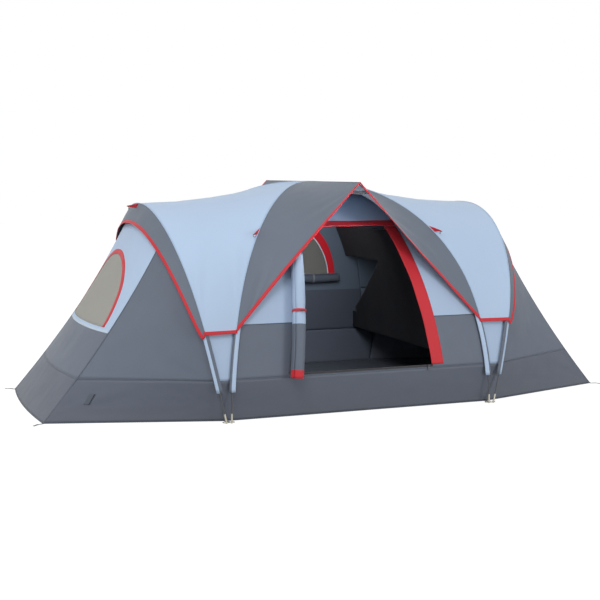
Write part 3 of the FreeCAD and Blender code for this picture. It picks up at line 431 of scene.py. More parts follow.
class Nodes:
    """A node tree, with short calls for its nodes."""

    def __init__(self, tree):
        self.tree = tree

    def node(self, kind, **settings):
        made = self.tree.nodes.new("ShaderNode" + kind)
        for label, value in settings.items():
            setattr(made, label, value)
        return made

    def link(self, source, target):
        if isinstance(source, (int, float)):
            target.default_value = source
        else:
            self.tree.links.new(source, target)

    def calc(self, operation, a, b=0.0, c=0.0):
        made = self.node("Math", operation=operation)
        for value, socket in zip((a, b, c), made.inputs):
            self.link(value, socket)
        return made.outputs[0]

    def times(self, a, b):
        return self.calc("MULTIPLY", a, b)

    def size(self, a):
        return self.calc("ABSOLUTE", a)

    def less(self, a, b):
        return self.calc("LESS_THAN", a, b)

    def cells(self, along, pitch, share):
        """1 in the first share of each pitch, and 0 in the rest."""
        return self.less(self.calc("FRACT", self.calc("DIVIDE", along, pitch)), share)

    def ramp(self, value, low, high):
        """Turn 0 to 1 into low to high."""
        made = self.node("MapRange")
        for label, source in (("Value", value), ("To Min", low), ("To Max", high)):
            self.link(source, made.inputs[label])
        return made.outputs[0]

    def parts(self, vector):
        split = self.node("SeparateXYZ")
        self.link(vector, split.inputs[0])
        return split.outputs

    def place(self, space):
        return self.node("TexCoord").outputs[space]


class Shader(Nodes):
    """A material whose colours are all shares of one."""

    def __init__(self, name, code, roughness, **fixed):
        self.material = bpy.data.materials.new(name)
        self.material.use_nodes = True
        super().__init__(self.material.node_tree)
        self.bsdf = self.tree.nodes["Principled BSDF"]
        self.colour = linear(code)
        self.bsdf.inputs["Base Color"].default_value = (*self.colour, 1)
        self.bsdf.inputs["Roughness"].default_value = roughness
        for label, value in fixed.items():
            self.bsdf.inputs[label.replace("_", " ").title()].default_value = value

    def shade(self, share):
        return tuple(min(1.0, c * share) for c in self.colour)

    def uv(self, layer):
        return self.parts(self.node("UVMap", uv_map=layer).outputs[0])[:2]

    def wave(self, along, pitch):
        return self.calc("SINE", self.times(along, 2 * math.pi / pitch))

    def noise(self, scale, detail=3.0):
        made = self.node("TexNoise")
        self.link(self.place("Object"), made.inputs["Vector"])
        self.link(scale, made.inputs["Scale"])
        self.link(detail, made.inputs["Detail"])
        return made.outputs["Fac"]

    def blend(self, under, factor, over):
        """A colour over another, by a factor."""
        made = self.node("Mix", data_type="RGBA")
        self.link(factor, made.inputs[0])
        if isinstance(under, tuple):
            made.inputs[6].default_value = (*under, 1)
        else:
            self.link(under, made.inputs[6])
        made.inputs[7].default_value = (*over, 1)
        return made.outputs[2]

    def vary(self, under, factor, amount, share):
        """Take a colour towards a darker or lighter share of the material's own."""
        return self.blend(under, self.times(factor, amount), self.shade(share))

    def finish(self, colour, bump, distance, strength, roughness=None):
        self.link(colour, self.bsdf.inputs["Base Color"])
        if roughness is not None:
            self.link(roughness, self.bsdf.inputs["Roughness"])
        made = self.node("Bump")
        self.link(strength, made.inputs["Strength"])
        self.link(distance, made.inputs["Distance"])
        self.link(bump, made.inputs["Height"])
        self.link(made.outputs[0], self.bsdf.inputs["Normal"])
        return self.material


def woven(name, code, roughness, thread=0.0009, dusty=0.0, sheen=0.12):
    """Coated polyester: plain weave, faint cloudiness, creases, and dust near the ground."""
    s = Shader(name, code, roughness, sheen_weight=sheen, sheen_roughness=0.45)
    u, v = s.uv("cloth")
    weave = s.times(s.wave(u, thread), s.wave(v, thread))
    fine = s.noise(38.0, 4.0)
    colour = s.vary(s.shade(1.05), s.noise(1.7, 2.0), 1.0, 0.95)
    colour = s.vary(colour, s.size(weave), 0.10, 0.82)
    if dusty:
        low = s.calc("SUBTRACT", 1.0, s.calc("DIVIDE", s.parts(s.place("Object"))[2], DUST_H))
        low = s.times(s.calc("MAXIMUM", low, 0.0), s.times(fine, dusty))
        colour = s.blend(colour, low, DUST)
    bump = s.calc("ADD", s.times(weave, 0.25), s.times(fine, 0.9))
    rough = s.calc("MULTIPLY_ADD", s.noise(9.0), 0.16, roughness - 0.08)
    return s.finish(colour, bump, 0.0006, 0.35, rough)


def taped(name, code, roughness=0.62, pitch=0.0016, margin=0.0028):
    """Grosgrain tape: cross ribs, two rows of stitches and slightly rubbed edges."""
    s = Shader(name, code, roughness, sheen_weight=0.2, sheen_roughness=0.4)
    near, along = s.uv("edge")
    ribs = s.wave(along, pitch)
    in_row = s.less(s.size(s.calc("SUBTRACT", near, margin)), STITCH_HALF)
    stitch = s.times(in_row, s.cells(along, STITCH, STITCH_SHARE))
    worn = s.times(s.less(near, RUBBED_W), s.noise(60.0))
    colour = s.vary(s.shade(1.06), s.noise(5.0), 1.0, 0.90)
    colour = s.vary(colour, s.size(ribs), 0.14, 0.7)
    colour = s.vary(colour, worn, 0.4, 1.35)
    colour = s.vary(colour, stitch, 0.55, 0.62)
    return s.finish(colour, s.calc("SUBTRACT", s.times(ribs, 0.3), stitch), 0.0004, 0.5)


def netted(name, code, cell=0.0016, thread=0.78):
    """Insect netting: threads with open cells between them."""
    s = Shader(name, code, 0.8, sheen_weight=0.1)
    u, v = s.uv("cloth")
    threads = s.calc("MAXIMUM", s.cells(u, cell, thread), s.cells(v, cell, thread))
    s.link(threads, s.bsdf.inputs["Alpha"])
    colour = s.vary(s.shade(1.04), s.noise(3.0), 1.0, 0.95)
    return s.finish(colour, s.times(s.wave(u, cell), s.wave(v, cell)), 0.0002, 0.5)


def strapped(name, code, pitch=0.0022):
    """Webbing: a coarse diagonal weave."""
    s = Shader(name, code, 0.72, sheen_weight=0.15)
    u, v = s.uv("cloth")
    weave = s.times(*(s.wave(s.calc(way, u, v), pitch) for way in ("ADD", "SUBTRACT")))
    colour = s.vary(s.colour, s.size(weave), 0.5, 0.6)
    colour = s.vary(colour, s.noise(30.0), 0.25, 1.3)
    return s.finish(colour, weave, 0.0004, 0.6)


def moulded(name, code, roughness, **fixed):
    """Plastic or coated rod: a fine grain and rubbed lighter patches."""
    s = Shader(name, code, roughness, **fixed)
    patch = s.noise(14.0)
    rough = s.calc("MULTIPLY_ADD", patch, 0.22, roughness - 0.1)
    return s.finish(s.vary(s.colour, patch, 0.45, 1.5), s.noise(220.0, 4.0), 0.0002, 0.35, rough)


def metal(name, code, roughness):
    """Plated metal: dull spangle, a fine grain and a little tarnish."""
    s = Shader(name, code, roughness, metallic=0.85)
    spangle = s.noise(90.0, 5.0)
    rough = s.calc("MULTIPLY_ADD", spangle, 0.3, roughness - 0.12)
    return s.finish(s.vary(s.colour, spangle, 0.5, 0.66), s.noise(420.0, 2.0), 0.0001, 0.4, rough)


def toothed(name, code):
    """Zip tape with its coil down the middle."""
    s = Shader(name, code, 0.5)
    u, v = s.uv("cloth")
    coil = s.less(s.size(u), COIL_HALF)
    colour = s.vary(s.vary(s.colour, coil, 0.5, 1.6), s.noise(40.0), 0.2, 1.2)
    return s.finish(colour, s.calc("ADD", s.times(coil, s.wave(v, TOOTH)), coil), 0.0006, 0.7)


light = woven("light_blue_cloth", "B6CCE7", 0.62)
light_inside = woven("light_blue_wall", "AEC3DE", 0.64)
# painted shade: the inner faces of the light-blue and slate cloths are darker copies of them,
# standing for the shade inside the tent
light_back = woven("inner_face_painted_shade", "5F6B7B", 0.5, sheen=0.04)
dark_back = woven("inner_skirt_painted_shade", "515865", 0.52, sheen=0.04)
wall_backs = [light_back, dark_back]
dark = woven("slate_cloth", "67717F", 0.64)
skirt = woven("slate_skirt", "626B7A", 0.60)
tub = woven("slate_tub", "585F6D", 0.56, dusty=0.22, sheen=0.05)
ground = woven("ground_cloth", "4C525C", 0.55, thread=0.0014, sheen=0.04)
# painted shade: the divider curtains are real, and their near-black tone stands for the shade of the
# unlit rooms behind the door
shaded_curtain = woven("curtain_painted_shade", "212226", 0.75, sheen=0.03)
# painted shade: the rear window's rolled flap, inside the tent, takes a dark slate tone that stands
# for the shade it hangs in
shaded_flap = woven("rear_flap_painted_shade", "4A515D", 0.66)
red = taped("red_tape", "CF2431")
seam_light = taped("pale_seam", "B6CCE6", 0.6)
seam_dark = taped("slate_seam", "4F5763", 0.6)
seam_soft = taped("slate_fell", "5F6875")
pale = taped("pale_binding", "C9DAEC", 0.55)
netting = netted("netting", "A5A49D")
# painted shade: the netting's inner face is a darker copy of it, standing for the shade inside the
# tent
net_back = netted("netting_inner_face_painted_shade", "62625F")
webbing = strapped("grey_webbing", "6A6E74")
dark_webbing = strapped("slate_webbing", "3F444C")
zipper = toothed("zip_tape", "1B1C1F")
rod = moulded("fibreglass_rod", "3A3D42", 0.38, coat_weight=0.25, coat_roughness=0.2)
plastic = moulded("black_plastic", "3A3D40", 0.55)
steel = metal("zinc_steel", "B9B5A8", 0.42)
zip_metal = metal("dark_zip_metal", "5A5B60", 0.45)

# --- camera, lamps and floor
CAMERA_AT = (-3.511, -8.757, 1.746)
CAMERA_YAW, CAMERA_PITCH, CAMERA_ROLL = 21.44, 6.24, 0.19
CAMERA_LENS = 69.58
SKY, HORIZON = 0.78, 0.33  # the surroundings as light; what is seen of them is white
FLOOR_REACH, FLOOR_DROP, FLOOR_GREY = 30.0, 0.0005, 0.30
FLOOR_GLOW, FLOOR_SEEN = 0.06, 0.86  # what the floor gives off, as light and as seen


def add_camera():
    yaw, pitch = math.radians(CAMERA_YAW), math.radians(CAMERA_PITCH)
    ahead = Vector((math.sin(yaw) * math.cos(pitch), math.cos(yaw) * math.cos(pitch),
                    -math.sin(pitch)))
    data = bpy.data.cameras.new("camera")
    data.lens, data.sensor_width = CAMERA_LENS, 36.0
    data.clip_start, data.clip_end = 0.1, 200.0
    made = add("camera", data)
    made.matrix_world = (Matrix.Translation(CAMERA_AT)
                         @ ahead.to_track_quat("-Z", "Y").to_matrix().to_4x4()
                         @ Matrix.Rotation(math.radians(CAMERA_ROLL), 4, "Z"))
    bpy.context.scene.camera = made


def add_lamp(name, at, toward, size, power, spread=180, seen=True):
    data = bpy.data.lights.new(name, "AREA")
    data.shape, data.size, data.energy = "DISK", size, power
    data.spread = math.radians(spread)
    made = add(name, data)
    made.location = at
    made.rotation_euler = (Vector(toward) - Vector(at)).to_track_quat("-Z", "Y").to_euler()
    made.visible_camera = made.visible_glossy = made.visible_transmission = seen


def seen_white(tree):
    """1 where the camera, a mirror or glass looks, and 0 for light that falls on the object."""
    rays = tree.node("LightPath").outputs
    total = tree.calc("MAXIMUM", rays["Is Camera Ray"], rays["Is Glossy Ray"])
    return tree.calc("MAXIMUM", total, rays["Is Transmission Ray"])


def add_surroundings():
    world = bpy.data.worlds.new("studio")
    bpy.context.scene.world = world
    world.use_nodes = True
    tree = Nodes(world.node_tree)
    back = world.node_tree.nodes["Background"]
    back.inputs["Color"].default_value = (1, 1, 1, 1)
    sky = tree.ramp(tree.parts(tree.place("Generated"))[2], HORIZON, SKY)
    tree.link(tree.calc("MAXIMUM", sky, seen_white(tree)), back.inputs["Strength"])

    mesh = bpy.data.meshes.new("floor")
    corners = [(x * FLOOR_REACH, y * FLOOR_REACH, 0)
               for x, y in ((-1, -1), (1, -1), (1, 1), (-1, 1))]
    mesh.from_pydata(corners, [], [(0, 1, 2, 3)])
    floor = add("floor", mesh)
    floor.location.z = -FLOOR_DROP
    material = bpy.data.materials.new("pale_floor")
    material.use_nodes = True
    material.node_tree.nodes.remove(material.node_tree.nodes["Principled BSDF"])
    tree = Nodes(material.node_tree)
    matt, glow, both = (tree.node(kind) for kind in ("BsdfDiffuse", "Emission", "AddShader"))
    matt.inputs["Color"].default_value = (FLOOR_GREY, FLOOR_GREY, FLOOR_GREY, 1)
    tree.link(tree.ramp(seen_white(tree), FLOOR_GLOW, FLOOR_SEEN), glow.inputs["Strength"])
    tree.link(matt.outputs[0], both.inputs[0])
    tree.link(glow.outputs[0], both.inputs[1])
    tree.link(both.outputs[0], tree.tree.nodes["Material Output"].inputs["Surface"])
    mesh.materials.append(material)


add_camera()
add_surroundings()
add_lamp("key", (-4.5, -6.5, 7.5), (0, 0, 0.6), 4.5, 270)
add_lamp("fill", (-8.5, -1.5, 3.0), (-1.5, 0, 0.7), 3.0, 85)
add_lamp("front", (4.5, -9.8, 1.6), (0.1, -0.8, 1.2), 3.0, 225)
add_lamp("card", (0.1, -1.9, 0.3), (-0.14, -0.8, 1.47), 0.3, 3.2, spread=36, seen=False)
add_lamp("inside", (0.1, -0.35, 1.30), (-0.25, 1.06, 0.5), 0.7, 11.5, spread=130, seen=False)
bpy.context.scene.view_settings.view_transform = "Standard"


# --- surfaces of the inner tent
def wall_edge(z):
    """Half width and depth of the long walls at a height."""
    return (np.interp(z, wall_line[:, 2], -wall_line[:, 0]),
            np.interp(z, wall_line[:, 2], wall_line[:, 1]))


def on_wall(x, z):
    """Points on the front long wall's outer face."""
    return points(x, wall_edge(z)[1], z)


def wall_strip(left, right, count, low, high, cells):
    return on_wall(col(left, right, count), row(low, high, cells))


def door_half(z):
    """Half width of the door at a height, on the circle through three places on its side."""
    places = np.array([(DOOR_FOOT, DOOR_LOW),
                       ((DOOR_FOOT + DOOR_HEAD) / 2 + DOOR_BULGE, (DOOR_LOW + DOOR_HIGH) / 2),
                       (DOOR_HEAD, DOOR_HIGH)])
    x, y, rest = np.linalg.solve(np.c_[2 * places, np.ones(3)], (places**2).sum(1))
    return x + np.sqrt(rest + x * x + y * y - (z - y) ** 2)


def sag(t):
    """How far the seams and end walls sink in, at a share of their height."""
    return 4 * SEAM_SAG * t * (1 - t) * np.array([1.0, 0, 0])


def seam_point(z):
    t = np.asarray(z, float)[..., None] / seam_top[2]
    return mix(np.array([-CORNER_X, -CORNER_Y, 0.0]), seam_top, t) + sag(t)


def end_point(v, z):
    """The left end wall: v runs from -1 on the front seam to 1 on the rear one."""
    v, z = np.broadcast_arrays(np.asarray(v, float), np.asarray(z, float))
    top = hoop.point(mix(90.0, HOOP_SEAM_TURN, np.abs(v)), hoop_wall_lift)
    top = top * points(1.0, -np.sign(v), 1.0)
    t = (z / top[..., 2])[..., None]
    return mix(points(-CORNER_X - HEM_BOW * (1 - v * v), CORNER_Y * v, 0.0), top, t) + sag(t)


def on_end(y, z):
    """Points on the left end wall's outer face, found by their place across it."""
    y, z = np.broadcast_arrays(np.asarray(y, float), np.asarray(z, float))
    low, high = np.full(y.shape, -0.98), np.full(y.shape, 0.98)
    for _ in range(30):
        v = (low + high) / 2
        short = end_point(v, z)[..., 1] < y
        low, high = np.where(short, v, low), np.where(short, high, v)
    return end_point(v, z)


def dark_below(height):
    """Paint a grid's cells with the second material where they lie below a height."""
    def paint(grid):
        return ((grid[:-1, :-1, 2] + grid[1:, 1:, 2]) / 2 < height).astype(int)
    return paint


def opening(z, columns, low, high, first, last):
    """The cells that stay round an opening between two heights and two columns."""
    keep = np.ones((len(z) - 1, columns - 1), bool)
    keep[(z[:-1] >= low - EPS) & (z[1:] <= high + EPS), first:last] = False
    return keep


def arch_hole(across, z, centre, radius, foot):
    """The cells that stay round an arched hole, the points inside it that border them, and
    every point's distance from the arch's centre."""
    away = np.hypot(across, z - centre)
    inside = (away < radius) & (z > foot)
    keep = ~(inside[:-1, :-1] & inside[1:, :-1] & inside[:-1, 1:] & inside[1:, 1:])
    touch = np.zeros_like(inside)
    for rows in (slice(None, -1), slice(1, None)):
        for cols in (slice(None, -1), slice(1, None)):
            touch[rows, cols] |= keep
    return keep, inside & touch, away


def arch_strip(centre, foot, inner, outer, count):
    """Places across and up on a strip bent round an arch, from foot to foot."""
    radii = row(inner, outer, 6)
    start = np.arcsin((foot - centre) / radii)
    turn = mix(start, math.pi - start, col(0, 1, count))
    return radii * np.cos(turn), centre + radii * np.sin(turn)


def arch_sheet(centre, foot, radius, rows, cols):
    """Places across and up on a sheet that fills an arch."""
    turn = col(math.asin((foot - centre) / radius), math.pi / 2, rows)
    return radius * np.cos(turn) * row(-1, 1, cols), centre + radius * np.sin(turn)


# --- floor and tub
def floor_and_tub():
    on_floor = ["groundsheet_cloth"]
    s = np.concatenate([np.linspace(-1, -MID_SHARE, 28)[:-1],
                        np.linspace(-MID_SHARE, MID_SHARE, 48),
                        np.linspace(MID_SHARE, 1, 28)[1:]])[:, None]
    v = row(-1, 1, 48)
    outer = np.clip((np.abs(s) - MID_SHARE) / (1 - MID_SHARE), 0, 1)
    x = np.where(outer > 0, mix(FOOT_X, CORNER_X, outer), np.abs(s) / MID_SHARE * FOOT_X)
    grid = points(np.sign(s) * (x + HEM_BOW * outer**4 * (1 - v * v)),
                  v * mix(HEM_Y, CORNER_Y, outer), FLOOR_Z)
    sheet("groundsheet_cloth", grid, drape(grid, 3, 0.0006, 0.5), [ground], "groundsheet",
          held="laid", grow=0.0, outward=False)

    t, s = col(0, 1, 15), row(-1, 1, 96)
    y = -HEM_Y + (mix(wall_edge(BATHTUB_H)[1], tub_top[1], s**10) + HEM_Y) * t
    front = points(s * mix(FOOT_X, -tub_top[0], t),
                   y - TUB_BOW * np.sin(math.pi * t) * (1 - s**6), mix(FLOOR_Z, BATHTUB_H, t))
    low = mix(hem_foot, hem_corner, col(0, 1, 56))
    high = mix(tub_top, seam_point(BATHTUB_H), col(0, 1, 56))
    slope = rulings(low, high, 14).transpose(1, 0, 2)
    for name, rear in FRONTS:
        grid = mirror(front, False, rear)
        soft = drape(grid, 11 + rear, 0.0024, 0.30,
                     pulls=((0.5, 0.0, 0.3, 5, 0.003), (0.5, 1.0, 0.3, 5, 0.003)))
        sheet("tub_wall_" + name, grid, soft, [tub], "bathtub_" + name, on_floor)
        for side, right in SIDES:
            grid = mirror(slope, right, rear)
            soft = drape(grid, 21 + rear + 2 * right, 0.0026, 0.34,
                         pulls=((0.5, 0.0, 0.3, 5, 0.003), (0.2, 1.0, 0.4, 5, 0.004)))
            sheet(f"tub_slope_{name}_{side}", grid, soft, [tub], "bathtub_slopes", on_floor)
    for side, right in SIDES:
        grid = mirror(end_point(row(-1, 1, 64), col(FLOOR_Z, BATHTUB_H, 15)), right)
        sheet("tub_end_" + side, grid, drape(grid, 31 + right, 0.0022, 0.32), [tub],
              "bathtub_ends", on_floor)

    run = np.concatenate([mix(hem_foot * (0, 1, 1), hem_foot, col(0, 1, 40)[:-1]), low])
    end = end_point(np.linspace(-1, 1, 40), FLOOR_Z + HEM_LIFT)
    welts("tub_hem_welts", at_corners(tube(run + (0, 0, HEM_LIFT), HEM_R))
          + at_ends(tube(end, HEM_R)), seam_dark)
    seam = BATHTUB_H, BATHTUB_H + TUB_SEAM_H, 4
    slopes = rulings(high, high + (high - low) * 0.014, 3)
    ledge = (at_corners(off(slopes, PROUD)) + at_ends(off(end_point(col(-1, 1, 60), row(*seam)),
                                                          PROUD))
             + at_walls(off(wall_strip(tub_top[0], -tub_top[0], 90, *seam), PROUD)))
    tape("tub_top_seams", ledge, seam_soft, thick=TAPE / 2)


# --- long walls
SIDE_CELLS, DOOR_CELLS = 24, 40
SKIRT_SEAM = SKIRT_H - SKIRT_SEAM_HALF, SKIRT_H + SKIRT_SEAM_HALF, 3


def wall_heights(*named):
    top_turn = dome.at_height(named[-1], wall_lift)
    crown = dome.point(dome.even(top_turn, WALL_TOP, 16), wall_lift)[:, 2]
    return np.concatenate([stops(*named), crown[1:]])


def long_wall(name, soft, keep, nodes):
    return piece(name, [soft], [light_inside, skirt], nodes, back=wall_backs,
                 paint=dark_below(SKIRT_H), keep=keep)


def front_wall():
    z = wall_heights(BATHTUB_H, DOOR_LOW, SKIRT_H, DOOR_HIGH)
    reach = wall_edge(z)[0]
    gate = np.where(z > DOOR_HIGH, reach * DOOR_HEAD / wall_edge(DOOR_HIGH)[0],
                    door_half(np.clip(z, DOOR_LOW, DOOR_HIGH)))
    left = mix(-reach[:, None], -gate[:, None], row(0, 1, SIDE_CELLS + 1))
    mid = mix(-gate[:, None], gate[:, None], row(0, 1, DOOR_CELLS + 1)[:, 1:-1])
    grid = on_wall(np.concatenate([left, mid, -left[:, ::-1]], 1), z[:, None])
    keep = opening(z, grid.shape[1], DOOR_LOW, DOOR_HIGH, SIDE_CELLS, SIDE_CELLS + DOOR_CELLS)
    soft = drape(grid, 41, 0.0018, 0.4)
    wall = long_wall("front_wall", soft, keep,
                     "front_wall_header front_wall_left front_wall_right door_sill")

    # the head tape curls at its lower edge, the storm flap at its free one, and both wave
    head = wall_strip(-DOOR_HEAD - FLAP_W, DOOR_HEAD + FLAP_W, 60,
                      DOOR_HIGH - TRIM_W / 2, DOOR_HIGH + TRIM_W / 2, 7)
    curl = row(1, 0, 7) * (0.002 + 0.0018 * np.sin(col(0, 19, 60)))
    sewn = [tape("door_head_binding", [laid(head, grid, soft, PROUD + curl[..., None])], red,
                 "door_head_tape")]
    heights = stops(DOOR_LOW, DOOR_HIGH - TRIM_W / 2, cell=0.015)[:, None]
    flap = on_wall(door_half(heights) + row(-TRIM_W / 4, FLAP_W, 12), heights)
    lift = row(1, 0, 12) ** 2 * (0.003 + 0.002 * np.sin(col(0, 23, len(heights))))
    sewn.append(tape("storm_flap", [laid(flap, grid, soft, PROUD + lift[..., None])], red,
                     "door_storm_flap"))
    # painted shadow: the hinge strip beside the roll takes the dark seam colour, drawing the shadow
    # line there
    hinge = on_wall(-door_half(heights) - row(0, TRIM_W, 6), heights)
    sewn.append(tape("door_hinge_strip_painted_shadow", [laid(hinge, grid, soft)], seam_dark, "door_hinge_tape"))
    sill = wall_strip(-DOOR_FOOT + 0.01, DOOR_FOOT, 80, DOOR_LOW - ZIP_W, DOOR_LOW, 7)
    sewn.append(tape("sill_zip_tape", [laid(sill, grid, soft)], zipper, "door_sill_zip"))
    half, door = wall_edge(SKIRT_H)[0], door_half(SKIRT_H)
    return [laid(wall_strip(a, b, 40, *SKIRT_SEAM), grid, soft)
            for a, b in ((-half, -door - TRIM_W), (door + FLAP_W, half))]


def rear_wall(front_seams):
    """The window's hole is cut out of the grid, and its rim drawn onto the arch."""
    hole_r, inner_r = WINDOW_R - WINDOW_TAPE / 2, WINDOW_R - WINDOW_TAPE
    z = wall_heights(BATHTUB_H, SKIRT_H, WINDOW_LOW, WINDOW_MID + hole_r + 0.04)
    x, z = np.broadcast_arrays(wall_edge(z)[0][:, None] * row(-1, 1, 105), z[:, None])
    keep, move, away = arch_hole(x, z, WINDOW_MID, hole_r, WINDOW_LOW - EPS)
    scale = np.where(move & (z > WINDOW_LOW + EPS), hole_r / np.maximum(away, 1e-9), 1.0)
    grid = mirror(on_wall(x * scale, mix(WINDOW_MID, z, scale)), False, True)
    soft = drape(grid, 43, 0.0016, 0.45)
    wall = long_wall("rear_wall_cloth", soft, keep, "rear_wall")

    def sewn(strip, distance=PROUD):
        return laid(mirror(strip, False, True), grid, soft, distance)

    def round_window(inner, outer):
        return on_wall(*arch_strip(WINDOW_MID, WINDOW_LOW, inner, outer, 90))

    trim = round_window(inner_r, WINDOW_R)
    tapes = tape("rear_window_bindings", [sewn(trim), sewn(trim, -CLOTH - PROUD - TAPE)], red,
                 "rear_window_tape")
    rim = sewn(round_window(inner_r - 0.006, inner_r + 0.003), -CLOTH - PROUD - 2 * TAPE)
    sill = sewn(wall_strip(-inner_r, inner_r, 60, WINDOW_LOW - 0.016, WINDOW_LOW + 0.004, 3))
    rims = tape("rear_window_rims", [rim, sill], pale)
    half = wall_edge(SKIRT_H)[0]
    tape("skirt_seams", [*front_seams, sewn(wall_strip(-half, half, 80, *SKIRT_SEAM))], seam_dark,
         thick=TAPE / 2)
    net = on_wall(*arch_sheet(WINDOW_MID, WINDOW_LOW - 0.01, inner_r + 0.02, 30, 61))
    net = mirror(net, False, True)
    sheet("rear_netting", net, laid(drape(net, 44, 0.002, 0.5), grid, soft, -CLOTH - PROUD / 2),
          [netting], "rear_window_mesh", ["rear_wall_cloth"], back=[net_back], thick=NET)


# --- end rooms
def end_wall_grid(arch_z, hole_r):
    """The left end wall, its window's rim drawn onto the arch and its foot, and what stays."""
    v = row(-1, 1, 73)
    crest = hoop.point(mix(90.0, HOOP_SEAM_TURN, np.abs(v)), hoop_wall_lift)[..., 2]
    z = np.concatenate([stops(BATHTUB_H, END_BREAK)[:, None] * np.ones_like(v),
                        mix(END_BREAK, crest, col(0, 1, 48)[1:])])
    grid = end_point(v, z)
    y = grid[..., 1]
    keep, move, away = arch_hole(y, z, arch_z, hole_r, END_LOW)
    to_foot = (z - END_LOW) < (hole_r - away)
    scale = np.where(to_foot, 1.0, hole_r / np.maximum(away, 1e-9))
    z = np.where(to_foot, END_LOW, mix(arch_z, z, scale))
    return np.where(move[..., None], on_end(y * scale, z), grid), keep


def end_rooms():
    z = stops(BATHTUB_H, seam_top[2] - 0.004)
    slope = rulings(hoop.point(hoop.at_height(z, hoop_wall_lift), hoop_wall_lift),
                    seam_point(z), 52)
    # the window's arch lies on the circle through its foot and its head
    rise = END_HIGH - END_LOW
    arch_r = (END_HALF**2 + rise**2) / (2 * rise)
    arch_z = END_HIGH - arch_r
    end, keep = end_wall_grid(arch_z, arch_r - END_TAPE / 2)
    window_tape = on_end(*arch_strip(arch_z, END_LOW, arch_r - END_TAPE, arch_r, 80))
    net = on_end(*arch_sheet(arch_z, END_LOW - 0.012, arch_r - END_TAPE / 4, 26, 45))
    piping = end_point(col(-1, 1, 60), row(END_BREAK - 0.001, END_BREAK + PIPING_H, 4))
    for side, right in SIDES:
        grid = mirror(end, right)
        soft = drape(grid, 51 + right, 0.002, 0.36)
        wall = piece("end_wall_" + side, [soft], [light, skirt], "end_walls", back=wall_backs,
                     paint=dark_below(END_BREAK), keep=keep)
        trim = tape("end_window_binding_" + side, [laid(mirror(window_tape, right), grid, soft)],
                    red, "end_window_tapes")
        foot = tape("end_wall_piping_" + side, [laid(mirror(piping, right), grid, soft)], pale)
        flat = mirror(net, right)
        sheet("end_netting_" + side, flat, laid(flat, grid, soft, -CLOTH - PROUD / 2), [netting],
              "end_window_meshes", ["end_wall_" + side], back=[net_back], thick=NET)
        for name, rear in FRONTS:
            grid = mirror(slope, right, rear)
            soft = drape(grid, 61 + right + 2 * rear, 0.0024, 0.40,
                         pulls=((0.0, 0.0, 0.35, 5, 0.004), (1.0, 0.5, 0.3, 4, 0.003)))
            sheet(f"slope_wall_{name}_{side}", grid, soft, [skirt], "slope_walls",
                  ["side_hoop_" + side])
    line = seam_point(stops(FLOOR_Z, seam_top[2] - 0.01))
    welts("end_seam_welts", at_corners(tube(line, SEAM_R)), seam_soft)


# --- inner roof, wedges and sleeves
def inner_roof():
    def ruled(low, high, count, cells):
        """A cloth from the dome to the left hoop, between two places on each."""
        return rulings(dome.point(dome.even(low[0], high[0], count), wall_lift),
                       hoop.point(hoop.even(low[1], high[1], count), hoop_wall_lift), cells)

    low, high = ((dome.at_height(z, wall_lift), hoop.at_height(z, hoop_wall_lift))
                 for z in (BATHTUB_H, SKIRT_H))
    wedge = ruled(low, high, 18, 8)
    roof = both_halves(ruled(high, (90.0, 90.0), 60, 40))
    for side, right in SIDES:
        grid = mirror(roof, right)
        sheet("ceiling_" + side, grid, drape(dip(grid), 71 + right, 0.002, 0.4), [light_inside],
              "ceiling", ["dome_pole_lower", "side_hoop_" + side], "hung", back=[light_back])
        for name, rear in FRONTS:
            grid = mirror(wedge, right, rear)
            sheet(f"wedge_{name}_{side}", grid, grid, [light_inside], "wedge_panels",
                  ["ceiling_" + side], back=[light_back])


def tunnel(arch, side_turn, web_on_right):
    """A flat sleeve at the foot of a pole, pale in front with a dark web on one side."""
    turn = math.radians(side_turn)
    lateral = np.array([math.cos(turn), -math.sin(turn), 0.0])
    ring = np.linspace(0, 2 * math.pi, 33)
    a, b = (np.sign(f(ring)) * np.abs(f(ring)) ** 0.55 * size / 2
            for f, size in ((np.cos, SLEEVE_W), (np.sin, SLEEVE_T)))
    grid = np.array([arch.point(phi) + a[:, None] * lateral
                     + b[:, None] * unit(np.cross(lateral, arch.along(phi)))
                     for phi in np.linspace(arch.at_height(SLEEVE_LOW),
                                            arch.at_height(SLEEVE_HIGH), 22)])
    across = (a[:-1] + a[1:]) / SLEEVE_W
    pale_part = (across < 0.05) if web_on_right else (across > -0.35)
    return grid, np.where(((b[:-1] + b[1:]) / 2 > SLEEVE_T * 0.12) & pale_part, 0, 1)


def sleeves():
    lower, upper = dome_arch(0.0), dome_arch(over)
    for (name, rear), (side, right) in ((f, s) for f in FRONTS for s in SIDES):
        arch = upper if rear != right else lower
        for pole, (grid, colours) in (("dome", tunnel(arch, DOME_SLEEVE_TURN, False)),
                                      ("hoop", tunnel(hoop, HOOP_SLEEVE_TURN, True))):
            grid = mirror(grid, right, rear)
            if right != rear:
                grid, colours = grid[:, ::-1], colours[::-1]
            sheet(f"sleeve_{pole}_{name}_{side}", grid, grid, [light, skirt],
                  "pole_sleeves", [f"wedge_{name}_{side}"], outward=False,
                  paint=lambda g, c=colours: np.tile(c, (len(g) - 1, 1)))


# --- rain roof
def roof_line(phi):
    """The line over the dome pole, lifted to the roof's top near the crossing."""
    near = np.minimum(phi, 180.0 - np.asarray(phi, float))
    rise = (ROOF_TOP - FLY_LIFT - DOME_H - over / 2) * (near / 90.0) ** ROOF_RISE_POWER
    turn = np.radians(near)[..., None]
    return dome.point(near, FLY_LIFT) + rise[..., None] * (dome.out * np.cos(turn)
                                                           + dome.up * np.sin(turn))


